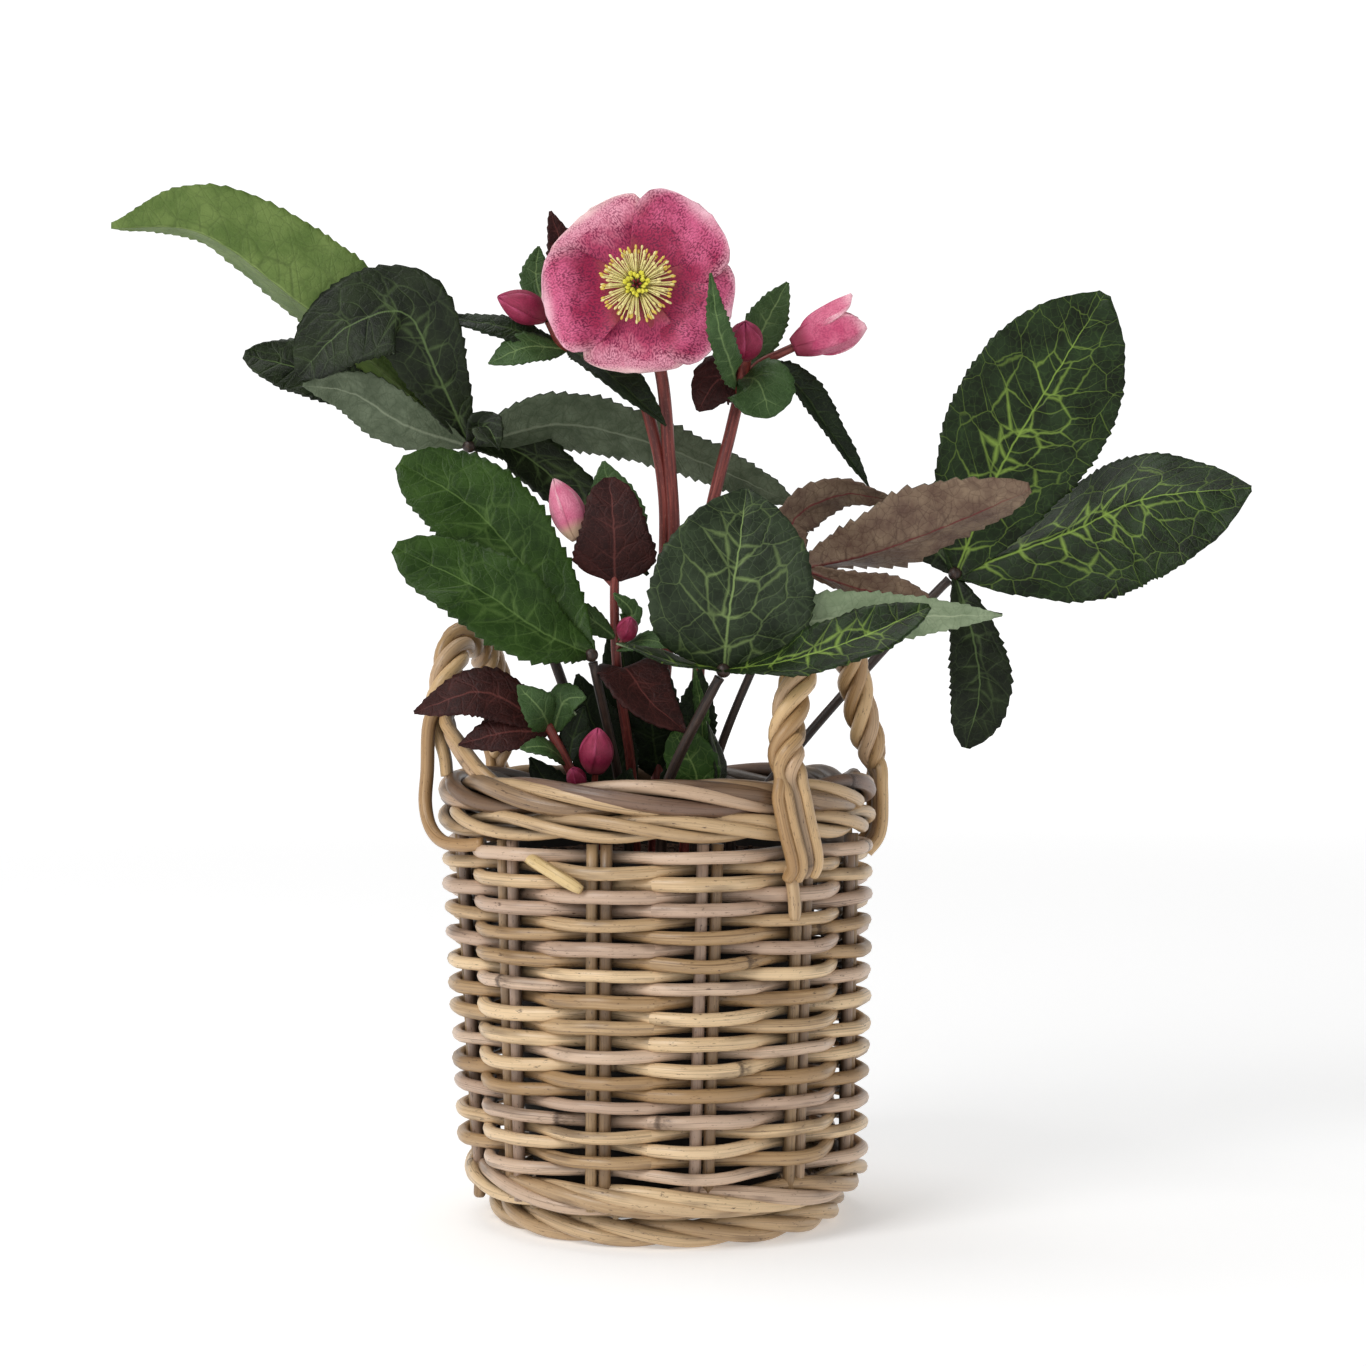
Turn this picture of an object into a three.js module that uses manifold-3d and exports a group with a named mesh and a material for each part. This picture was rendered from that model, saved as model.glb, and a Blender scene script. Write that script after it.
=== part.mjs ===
// A hellebore in flower in its nursery pot, standing in a round rattan basket with two rope handles.
// Millimetres, +Z up, front towards -Y. The origin is on the floor under the middle of the whole plant.
// Places are measured from the axis of the basket, which stands a little to the left of that middle.

import * as THREE from 'three';
import { mergeVertices } from 'three/addons/utils/BufferGeometryUtils.js';
import Module from 'manifold-3d';

const wasm = await Module();
wasm.setup();

// Clearance between pieces that rest on or stand in each other.
const GAP = 0.3;

const BASKET_AXIS = [-12, 3.3, 0];

// Basket. It narrows towards its foot, and the foot stands a little to the right of the rim and is turned.
const TAPER = 0.06;
const LEAN = 4;
const TWIST = THREE.MathUtils.degToRad(5);
const FOOT_RADIUS = 68.5;
const FOOT_STRAND = 6.4;
const FOOT_AXIS_HEIGHT = 5.5;
const BASE_RADIUS = 80;
const BASE_BOTTOM = 12;
const BASE_THICKNESS = 3.2;
const STAKE_CIRCLE = 83;
const STAKE_RADIUS = 2.6;
const STAKE_PAIRS = 12;
const STAKE_SPREAD = 2.9;
const WEAVER_ROWS = 25;
const ROW_PITCH = 5.2;
const FIRST_ROW = 30.7;
const WEAVER_CIRCLE = 82.7;
const WEAVER_RADIUS = 2.9;
const WEAVE_CLEAR = 5.9;
const WEAVE_GRIP = 4;
const FOOT_WALE_CIRCLE = 84;
const FOOT_WALE_HEIGHT = 21.7;
const FOOT_WALE_RADIUS = 5;
const RIM_BOTTOM = 160.8;
const WALE_CIRCLE = 86.3;
const WALE_RADIUS = 5;
const WALE_HEIGHT = 165.6;
const BORDER_CIRCLE = 84.2;
const BORDER_HEIGHT = 178.5;
const BORDER_RADIUS = 7.3;
const ROPE_RADIUS = 7;
const ROPE_TUCKED = 3.5;
const STRAND_CREST = 1.12;
const STRAND_VALLEY = 0.86;

// Nursery pot and soil.
const POT_FOOT_RADIUS = 51;
const POT_LIP_RADIUS = 71.5;
const POT_TOP = 153;
const POT_WALL = 1.4;
const SOIL_TOP = 150;
const HOLE_DEPTH = 10;
const HOLE_CLEARANCE = 0.9;

// Leaves, bracts, sepals and buds.
const BLADE = 0.9;
const BUD_RINGS = 4;
const BUD_WIND = 0.9;

const BASE_TOP = BASE_BOTTOM + BASE_THICKNESS;
const STAKE_BOTTOM = BASE_TOP + GAP;
const STAKE_TOP = RIM_BOTTOM - GAP;

const vector = (p) => new THREE.Vector3(...p);
const curveThrough = (points) => new THREE.CatmullRomCurve3(points.map(vector));

// ---------------------------------------------------------------- solids

function solidOf(geometry) {
  const bare = geometry.index ? geometry.clone() : geometry;
  bare.deleteAttribute('normal');
  bare.deleteAttribute('uv');
  const merged = mergeVertices(bare, 1e-4);
  return new wasm.Manifold(new wasm.Mesh({
    numProp: 3,
    vertProperties: new Float32Array(merged.attributes.position.array),
    triVerts: new Uint32Array(merged.index.array),
  }));
}

function solidFrom(points, triangles) {
  const geometry = new THREE.BufferGeometry();
  geometry.setAttribute('position', new THREE.Float32BufferAttribute(points.flatMap((p) => p.toArray()), 3));
  geometry.setIndex(triangles.flat());
  return solidOf(geometry);
}

// Union of pieces; scraps that a cut leaves loose are dropped.
function fuse(pieces) {
  const whole = pieces.reduce((sum, piece) => sum.add(piece));
  const bodies = whole.decompose();
  return bodies.reduce((best, body) => (body.volume() > best.volume() ? body : best));
}

function node(name, solid, colour, roughness) {
  const { vertProperties, triVerts } = solid.getMesh();
  const geometry = new THREE.BufferGeometry();
  geometry.setAttribute('position', new THREE.BufferAttribute(new Float32Array(vertProperties), 3));
  geometry.setIndex(new THREE.BufferAttribute(new Uint32Array(triVerts), 1));
  geometry.computeVertexNormals();
  const material = new THREE.MeshStandardMaterial({ color: colour, roughness, metalness: 0 });
  material.flatShading = true;
  const mesh = new THREE.Mesh(geometry, material);
  mesh.name = name;
  return mesh;
}

// Skin over a row of closed sections, with flat ends or run round into a ring.
function skin(sections, ring) {
  const count = sections[0].length;
  const points = sections.flat();
  const triangles = [];
  const spans = ring ? sections.length : sections.length - 1;
  for (let i = 0; i < spans; i += 1) {
    const here = i * count;
    const next = ((i + 1) % sections.length) * count;
    for (let j = 0; j < count; j += 1) {
      const k = (j + 1) % count;
      triangles.push([here + j, here + k, next + k], [here + j, next + k, next + j]);
    }
  }
  if (!ring) {
    const last = (sections.length - 1) * count;
    for (let j = 1; j < count - 1; j += 1) {
      triangles.push([0, j + 1, j], [last, last + j, last + j + 1]);
    }
  }
  return solidFrom(points, triangles);
}

// A rope of twisted strands: its section is a star with a point for each strand, turned along the way.
function rope({ steps, turns, strands, ring, place }) {
  const sections = [];
  const count = ring ? steps : steps + 1;
  for (let i = 0; i < count; i += 1) {
    const t = i / steps;
    const { centre, out, up } = place(t);
    const section = [];
    for (let j = 0; j < 2 * strands; j += 1) {
      const angle = (Math.PI * j) / strands + 2 * Math.PI * turns * t;
      const reach = j % 2 ? STRAND_VALLEY : STRAND_CREST;
      section.push(centre.clone()
        .addScaledVector(out, reach * Math.cos(angle))
        .addScaledVector(up, reach * Math.sin(angle)));
    }
    sections.push(section);
  }
  return skin(sections, ring);
}

function ropeRing({ circle, height, radius, strands, turns, steps }) {
  return rope({
    steps,
    turns,
    strands,
    ring: true,
    place: (t) => {
      const round = 2 * Math.PI * t;
      const outward = new THREE.Vector3(Math.cos(round), Math.sin(round), 0);
      return {
        centre: outward.clone().multiplyScalar(circle).setZ(height),
        out: outward.clone().multiplyScalar(radius),
        up: new THREE.Vector3(0, 0, -radius),
      };
    },
  });
}

// A plain round stem along a curve.
function stem(points, radius, sides = 5) {
  const outline = new THREE.Shape();
  for (let i = 0; i < sides; i += 1) {
    const angle = (2 * Math.PI * i) / sides;
    const x = radius * Math.cos(angle);
    const y = radius * Math.sin(angle);
    if (i) outline.lineTo(x, y);
    else outline.moveTo(x, y);
  }
  outline.closePath();
  const path = curveThrough(points);
  const steps = points.length + 2;
  return solidOf(new THREE.ExtrudeGeometry(outline, { steps, bevelEnabled: false, extrudePath: path }));
}

function knob(centre, radius) {
  return solidOf(new THREE.IcosahedronGeometry(radius, 0)).translate(centre);
}

// Half width of a blade, as a share of the widest, at shares of its length from base to tip.
const OUTLINES = {
  broad: [[0, 0.08], [0.1, 0.42], [0.24, 0.74], [0.4, 0.95], [0.56, 1], [0.7, 0.96], [0.8, 0.82],
    [0.9, 0.56], [0.97, 0.24], [1, 0.06]],
  oval: [[0, 0.1], [0.05, 0.45], [0.12, 0.72], [0.25, 0.93], [0.4, 1], [0.55, 0.95], [0.7, 0.8], [0.82, 0.6],
    [0.92, 0.36], [1, 0.06]],
  lance: [[0, 0.08], [0.12, 0.5], [0.3, 0.88], [0.45, 1], [0.6, 0.92], [0.75, 0.68], [0.88, 0.38],
    [0.96, 0.15], [1, 0.06]],
  blunt: [[0, 0.08], [0.12, 0.42], [0.3, 0.78], [0.5, 0.98], [0.65, 1], [0.78, 0.9], [0.88, 0.7],
    [0.95, 0.45], [1, 0.12]],
  heart: [[0, 0.12], [0.08, 0.7], [0.2, 1], [0.35, 0.97], [0.5, 0.82], [0.65, 0.7], [0.8, 0.6], [0.92, 0.42],
    [1, 0.12]],
  sepal: [[0, 0.25], [0.1, 0.4], [0.25, 0.64], [0.45, 0.9], [0.62, 1], [0.76, 0.99], [0.87, 0.87],
    [0.94, 0.66], [1, 0.2]],
};

function halfWidth(outline, t) {
  const points = OUTLINES[outline];
  const next = Math.max(1, points.findIndex(([share]) => share >= t));
  const [[from, low], [to, high]] = [points[next - 1], points[next]];
  return THREE.MathUtils.mapLinear(t, from, to, low, high);
}

// A leaf blade, bract or sepal. path is its midrib from base to tip, face the way its upper side looks,
// fold the angle in degrees by which each half is raised, wave the rise and fall of its edge.
function blade({ path, width, face, fold = 0, wave = 0, teeth = 0.07, rows = 7, across = 2,
  outline = 'lance' }) {
  const midrib = curveThrough(path);
  const looks = vector(face).normalize();
  const lean = THREE.MathUtils.degToRad(fold);
  const front = [];
  const back = [];
  for (let i = 0; i <= rows; i += 1) {
    const t = i / rows;
    const centre = midrib.getPoint(t);
    const along = midrib.getTangent(t);
    const side = new THREE.Vector3().crossVectors(along, looks).normalize();
    const normal = new THREE.Vector3().crossVectors(side, along).normalize();
    const reach = width * halfWidth(outline, t);
    for (let j = -across; j <= across; j += 1) {
      const share = j / across;
      const toothed = Math.abs(j) === across ? 1 + teeth * (i % 2 ? 1 : -1) : 1;
      const rise = reach * Math.abs(share) * Math.sin(lean)
        + wave * Math.abs(share) * Math.sin(4 * Math.PI * t + share);
      const point = centre.clone()
        .addScaledVector(side, reach * share * toothed * Math.cos(lean))
        .addScaledVector(normal, rise);
      front.push(point.clone().addScaledVector(normal, BLADE / 2));
      back.push(point.clone().addScaledVector(normal, -BLADE / 2));
    }
  }
  const row = 2 * across + 1;
  const under = front.length;
  const triangles = [];
  for (let i = 0; i < rows; i += 1) {
    for (let j = 0; j < row - 1; j += 1) {
      const a = i * row + j;
      const [b, c, d] = [a + 1, a + row, a + row + 1];
      triangles.push([a, b, d], [a, d, c]);
      triangles.push([under + a, under + d, under + b], [under + a, under + c, under + d]);
    }
    for (const [edge, turn] of [[0, false], [row - 1, true]]) {
      const a = i * row + edge;
      const c = a + row;
      triangles.push(turn ? [a, under + c, c] : [a, c, under + c]);
      triangles.push(turn ? [a, under + a, under + c] : [a, under + c, under + a]);
    }
  }
  for (let j = 0; j < row - 1; j += 1) {
    const b = rows * row + j;
    triangles.push([j, under + j, under + j + 1], [j, under + j + 1, j + 1]);
    triangles.push([b, b + 1, under + b + 1], [b, under + b + 1, under + b]);
  }
  return solidFrom([...front, ...back], triangles);
}

// A closed bud: an egg with five folds that wind towards its tip.
function bud({ base, tip, radius }) {
  const start = vector(base);
  const axis = vector(tip).sub(start);
  const upright = new THREE.Vector3(0, 0, 1);
  const turn = new THREE.Quaternion().setFromUnitVectors(upright, axis.clone().normalize());
  const sections = [];
  for (let i = 0; i <= BUD_RINGS; i += 1) {
    const t = i / BUD_RINGS;
    const girth = radius * Math.sin(Math.PI * (0.12 + 0.8 * t) ** 0.95) ** 0.8;
    const section = [];
    for (let j = 0; j < 10; j += 1) {
      const angle = (Math.PI * j) / 5 + BUD_WIND * t;
      const reach = girth * (j % 2 ? 0.87 : 1.03);
      section.push(new THREE.Vector3(reach * Math.cos(angle), reach * Math.sin(angle), 0)
        .applyQuaternion(turn).addScaledVector(axis, t).add(start));
    }
    sections.push(section);
  }
  return skin(sections, false);
}

// ---------------------------------------------------------------- basket

const around = (degreesFromFront, radius, height) => {
  const angle = THREE.MathUtils.degToRad(degreesFromFront);
  return [radius * Math.sin(angle), -radius * Math.cos(angle), height];
};

function weaverRow(row) {
  const ring = new THREE.TorusGeometry(WEAVER_CIRCLE, WEAVER_RADIUS, 3, 2 * STAKE_PAIRS);
  const side = row % 2 ? -1 : 1;
  const position = ring.attributes.position;
  for (let i = 0; i < position.count; i += 1) {
    const x = position.getX(i);
    const y = position.getY(i);
    const step = Math.round((Math.atan2(x, -y) * STAKE_PAIRS) / Math.PI);
    const pair = (step - 1) / 2;
    const grips = (pair + STAKE_PAIRS + 5 * row) % STAKE_PAIRS === 0;
    const swing = side * (grips ? WEAVE_GRIP : WEAVE_CLEAR) * Math.cos(Math.PI * pair);
    const reach = Math.hypot(x, y);
    const scale = (reach + (Number.isInteger(pair) ? swing : 0)) / reach;
    position.setXYZ(i, x * scale, y * scale, position.getZ(i) + FIRST_ROW + ROW_PITCH * row);
  }
  return solidOf(ring);
}

function stakes() {
  const height = STAKE_TOP - STAKE_BOTTOM;
  const found = [];
  for (let pair = 0; pair < STAKE_PAIRS; pair += 1) {
    const turn = (2 * Math.PI * (pair + 0.5)) / STAKE_PAIRS;
    for (const offset of [-STAKE_SPREAD, STAKE_SPREAD]) {
      const stake = new THREE.CylinderGeometry(STAKE_RADIUS, STAKE_RADIUS, height, 5);
      stake.rotateX(Math.PI / 2);
      stake.translate(offset, -STAKE_CIRCLE, STAKE_BOTTOM + height / 2);
      stake.rotateZ(turn);
      found.push(solidOf(stake));
    }
  }
  return found;
}

function wovenWall() {
  const rows = Array.from({ length: WEAVER_ROWS }, (_, row) => weaverRow(row));
  const wale = ropeRing({
    circle: FOOT_WALE_CIRCLE,
    height: FOOT_WALE_HEIGHT,
    radius: FOOT_WALE_RADIUS,
    strands: 3,
    turns: 4,
    steps: 32,
  });
  return fuse([...stakes(), wale, ...rows]).warp((place) => {
    const down = 1 - place[2] / RIM_BOTTOM;
    const [x, y] = [place[0] * (1 - TAPER * down), place[1] * (1 - TAPER * down)];
    place[0] = x * Math.cos(TWIST * down) + y * Math.sin(TWIST * down) + LEAN * down;
    place[1] = y * Math.cos(TWIST * down) - x * Math.sin(TWIST * down);
  });
}

function rimBorder() {
  const border = ropeRing({
    circle: BORDER_CIRCLE, height: BORDER_HEIGHT, radius: BORDER_RADIUS, strands: 3, turns: 5, steps: 40,
  });
  const wale = ropeRing({
    circle: WALE_CIRCLE, height: WALE_HEIGHT, radius: WALE_RADIUS, strands: 2, turns: 6, steps: 36,
  });
  return fuse([border, wale]);
}

function footRing() {
  const ring = ropeRing({
    circle: FOOT_RADIUS, height: FOOT_AXIS_HEIGHT, radius: FOOT_STRAND, strands: 3, turns: 5, steps: 30,
  });
  const below = new THREE.BoxGeometry(3 * FOOT_RADIUS, 3 * FOOT_RADIUS, 20);
  below.translate(0, 0, -10);
  return ring.subtract(solidOf(below)).translate([LEAN, 0, 0]);
}

function baseDisc() {
  const disc = new THREE.CylinderGeometry(BASE_RADIUS, BASE_RADIUS, BASE_THICKNESS, 24);
  disc.rotateX(Math.PI / 2);
  disc.translate(LEAN, 0, BASE_BOTTOM + BASE_THICKNESS / 2);
  return solidOf(disc);
}

// Each handle is an arch of twisted strands that flattens where it is tucked outside the rim.
function handle(points) {
  const path = curveThrough(points.map((p) => around(...p)));
  return rope({
    steps: 30,
    turns: 3,
    strands: 3,
    ring: false,
    place: (t) => {
      const centre = path.getPointAt(t);
      const along = path.getTangentAt(t);
      const outward = centre.clone().setZ(0).normalize();
      const out = outward.addScaledVector(along, -outward.dot(along)).normalize();
      const up = new THREE.Vector3().crossVectors(along, out);
      const foot = THREE.MathUtils.smoothstep(194 - centre.z, 0, 14);
      const thin = THREE.MathUtils.lerp(ROPE_RADIUS, ROPE_TUCKED, foot);
      return { centre, out: out.multiplyScalar(thin), up: up.multiplyScalar(ROPE_RADIUS) };
    },
  });
}

const RIGHT_HANDLE = [
  [39, 95.6, 148], [36, 96.4, 172], [34, 95.2, 188], [34.5, 92, 202], [39, 88, 222], [53, 81, 240],
  [69, 77, 246], [84, 79, 240], [94, 83, 225], [99, 89, 204], [102, 95, 188], [103, 96.4, 172],
  [103, 95.6, 152],
];
const LEFT_HANDLE = [
  [-75, 95.6, 150], [-76, 96.4, 172], [-77, 95, 189], [-78, 92, 204], [-81, 88, 224], [-90, 84, 239],
  [-103, 80, 240], [-117, 82, 230], [-126, 86, 212], [-130, 93, 191], [-132, 96.4, 172], [-132, 95.6, 152],
];

// ---------------------------------------------------------------- pot and soil

function nurseryPot() {
  const outline = [
    [0, BASE_TOP + GAP], [POT_FOOT_RADIUS, BASE_TOP + GAP], [POT_LIP_RADIUS - 3, POT_TOP - 4],
    [POT_LIP_RADIUS, POT_TOP - 4], [POT_LIP_RADIUS, POT_TOP], [POT_LIP_RADIUS - 3 - POT_WALL, POT_TOP],
    [POT_FOOT_RADIUS - POT_WALL, BASE_TOP + 2], [0, BASE_TOP + 2],
  ].map(([r, z]) => new THREE.Vector2(r, z));
  return solidOf(new THREE.LatheGeometry(outline, 24)).rotate([90, 0, 0]);
}

function soil(stems) {
  const foot = BASE_TOP + 2 + GAP;
  const outline = [
    [0, foot], [POT_FOOT_RADIUS - POT_WALL - 2 * GAP, foot],
    [POT_LIP_RADIUS - 3 - POT_WALL - 3 * GAP, SOIL_TOP], [0, SOIL_TOP],
  ].map(([r, z]) => new THREE.Vector2(r, z));
  const body = solidOf(new THREE.LatheGeometry(outline, 24)).rotate([90, 0, 0]);
  return stems.reduce((left, { foot: [x, y], radius }) => {
    const holeRadius = radius + HOLE_CLEARANCE;
    const hole = new THREE.CylinderGeometry(holeRadius, holeRadius, 2 * HOLE_DEPTH, 7);
    hole.rotateX(Math.PI / 2);
    hole.translate(x, y, SOIL_TOP);
    return left.subtract(solidOf(hole));
  }, body);
}

// The part of a stem that stands in its hole.
const rooted = ([x, y]) => [[x, y, SOIL_TOP - HOLE_DEPTH + GAP], [x, y, SOIL_TOP + 8]];

// ---------------------------------------------------------------- leaves

// Each compound leaf: the stalk's way from the soil to where its leaflets meet, and the leaflets.
const LEAVES = {
  left_upper: {
    colour: '#3d5230', foot: [-22, 12], radius: 2.3,
    way: [[-38, 14, 215], [-60, 15, 275]],
    heart: [-80, 15, 323],
    leaflets: [
      { path: [[-118, 4, 356], [-151, 0, 383], [-192, -4, 411], [-227, -8, 412]],
        width: 31, face: [0, 0.7, 0.7], fold: 42, rows: 9, outline: 'lance' },
      { path: [[-92, -4, 352], [-105, -10, 376], [-128, -12, 370], [-149, -10, 350]],
        width: 20, face: [-0.1, -1, 0.25], fold: 8, rows: 8, outline: 'blunt' },
      { path: [[-106, 4, 331], [-128, 0, 344], [-148, -4, 347]],
        width: 13, face: [0, 0.8, 0.5], rows: 6, across: 1 },
      { path: [[-120, 26, 346], [-150, 28, 356], [-178, 28, 363]],
        width: 15, face: [0, -0.8, 0.5], fold: 8, rows: 6, across: 1, outline: 'blunt' },
      { path: [[-42, 24, 333], [-6, 25, 326], [28, 24, 313], [58, 22, 299]],
        width: 15, face: [0, 0.75, 0.6], fold: 6, rows: 8, outline: 'heart' },
      { path: [[-62, 25, 322], [-30, 20, 296], [-4, 14, 268]],
        width: 13, face: [0.1, -0.8, 0.5], fold: 12, rows: 6, across: 1 },
      { path: [[-72, 4, 330], [-66, -4, 320]],
        width: 7, face: [0.4, -0.9, 0.2], fold: 20, rows: 6, across: 1 },
    ],
  },
  left_lower: {
    colour: '#3c6428', foot: [-12, -8], radius: 2,
    way: [[-16, -22, 185], [-22, -40, 215]],
    heart: [-26, -46, 234],
    leaflets: [
      { path: [[-50, -40, 266], [-75, -38, 294], [-104, -38, 312]],
        width: 21, face: [0.1, -0.9, 0.35], fold: 10, wave: 1.5, rows: 9, outline: 'blunt' },
      { path: [[-45, -55, 243], [-70, -58, 260], [-104, -56, 277]],
        width: 18, face: [-0.1, -0.85, 0.5], fold: 8, wave: 1.5, rows: 9, outline: 'blunt' },
    ],
  },
  front: {
    colour: '#33482a', foot: [2, -32], radius: 2.2,
    way: [[4, -46, 180], [15, -56, 206]],
    heart: [27, -61, 228],
    leaflets: [
      { path: [[29, -70, 250], [33, -68, 276], [36, -60, 300]],
        width: 33, face: [0, -1, 0.15], fold: 6, outline: 'oval', rows: 9 },
      { path: [[52, -83, 232], [80, -85, 241], [107, -80, 253]],
        width: 15, face: [0.1, -0.6, 0.78], fold: 8, rows: 8, outline: 'broad' },
      { path: [[8, -70, 231], [-15, -74, 239]],
        width: 11, face: [0, -0.25, 1], fold: 6, rows: 7, across: 1 },
      { path: [[56, -68, 246], [98, -63, 249], [138, -56, 250]],
        width: 11, face: [0, 1, 0.15], fold: 4, across: 1 },
    ],
  },
  middle: {
    colour: '#6b5248', foot: [20, 12], radius: 1.9,
    way: [[26, 10, 192], [40, 7, 234]],
    heart: [61, 2, 270],
    leaflets: [
      { path: [[88, -12, 276], [121, -20, 288], [153, -28, 302]],
        width: 19, face: [0, 0.78, 0.62], fold: 30, rows: 9, outline: 'broad' },
      { path: [[57, 9, 290], [78, 11, 302], [103, 11, 299]],
        width: 9, face: [0, 0.85, 0.5], wave: 2 },
      { path: [[84, -8, 262], [105, -12, 257], [122, -14, 246]],
        width: 9, face: [0, 0.75, 0.66], fold: 5, wave: 1 },
    ],
  },
  right: {
    colour: '#2a3b20', foot: [32, 24], radius: 2.2,
    way: [[48, 34, 178], [67, 41, 201], [95, 43, 236]],
    heart: [129, 37, 269],
    leaflets: [
      { path: [[148, 34, 314], [168, 31, 349], [192, 26, 389]],
        width: 34, face: [0.05, -1, 0.05], fold: 6, wave: 1.5, rows: 9, outline: 'broad' },
      { path: [[178, 27, 287], [206, 16, 300], [250.5, 4, 304.5]],
        width: 37, face: [0, -0.8, 0.6], fold: -20, wave: 1.5, rows: 9, outline: 'broad' },
      { path: [[136, 27, 240], [138, 23, 218], [132, 22, 194]],
        width: 14, face: [0.1, -1, 0.1], fold: 14, across: 1, outline: 'blunt' },
      { path: [[118, 43, 284], [108, 45, 297]],
        width: 8, face: [0, -1, 0.2], rows: 6, across: 1 },
    ],
  },
  young: {
    colour: '#4a7436', foot: [15, -20], radius: 1.5,
    way: [[15, -20, 163]],
    heart: [16, -23, 172],
    leaflets: [
      { path: [[16, -30, 186], [7, -33, 203]], width: 10, face: [0, -1, 0.3], rows: 5, outline: 'blunt' },
      { path: [[26, -26, 184], [21, -26, 207]], width: 5, face: [1, -0.5, 0], rows: 5, across: 1 },
      { path: [[19, -19, 203], [15, -22, 231]], width: 5, face: [-1, -0.6, 0], rows: 6, across: 1 },
    ],
  },
};

function leafNodes(name, { colour, foot, radius, way, heart, leaflets }) {
  const knobRadius = radius + 0.9;
  const end = vector(heart);
  const into = end.clone().sub(vector(way.at(-1))).normalize();
  const stop = end.clone().addScaledVector(into, -(knobRadius + GAP));
  const before = stop.clone().addScaledVector(into, -6);
  const stalk = stem([...rooted(foot), ...way.slice(0, -1), before.toArray(), stop.toArray()], radius);
  const blades = leaflets.map((leaflet) => blade({ ...leaflet, path: [heart, ...leaflet.path] }));
  return [
    node(`${name}_leaf_stalk`, stalk, '#3d2e22', 0.5),
    node(`${name}_leaf`, fuse([knob(heart, knobRadius), ...blades]), colour, 0.45),
  ];
}

// ---------------------------------------------------------------- flower stems

const BRACT = { rows: 4, across: 1, teeth: 0.1 };

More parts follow.
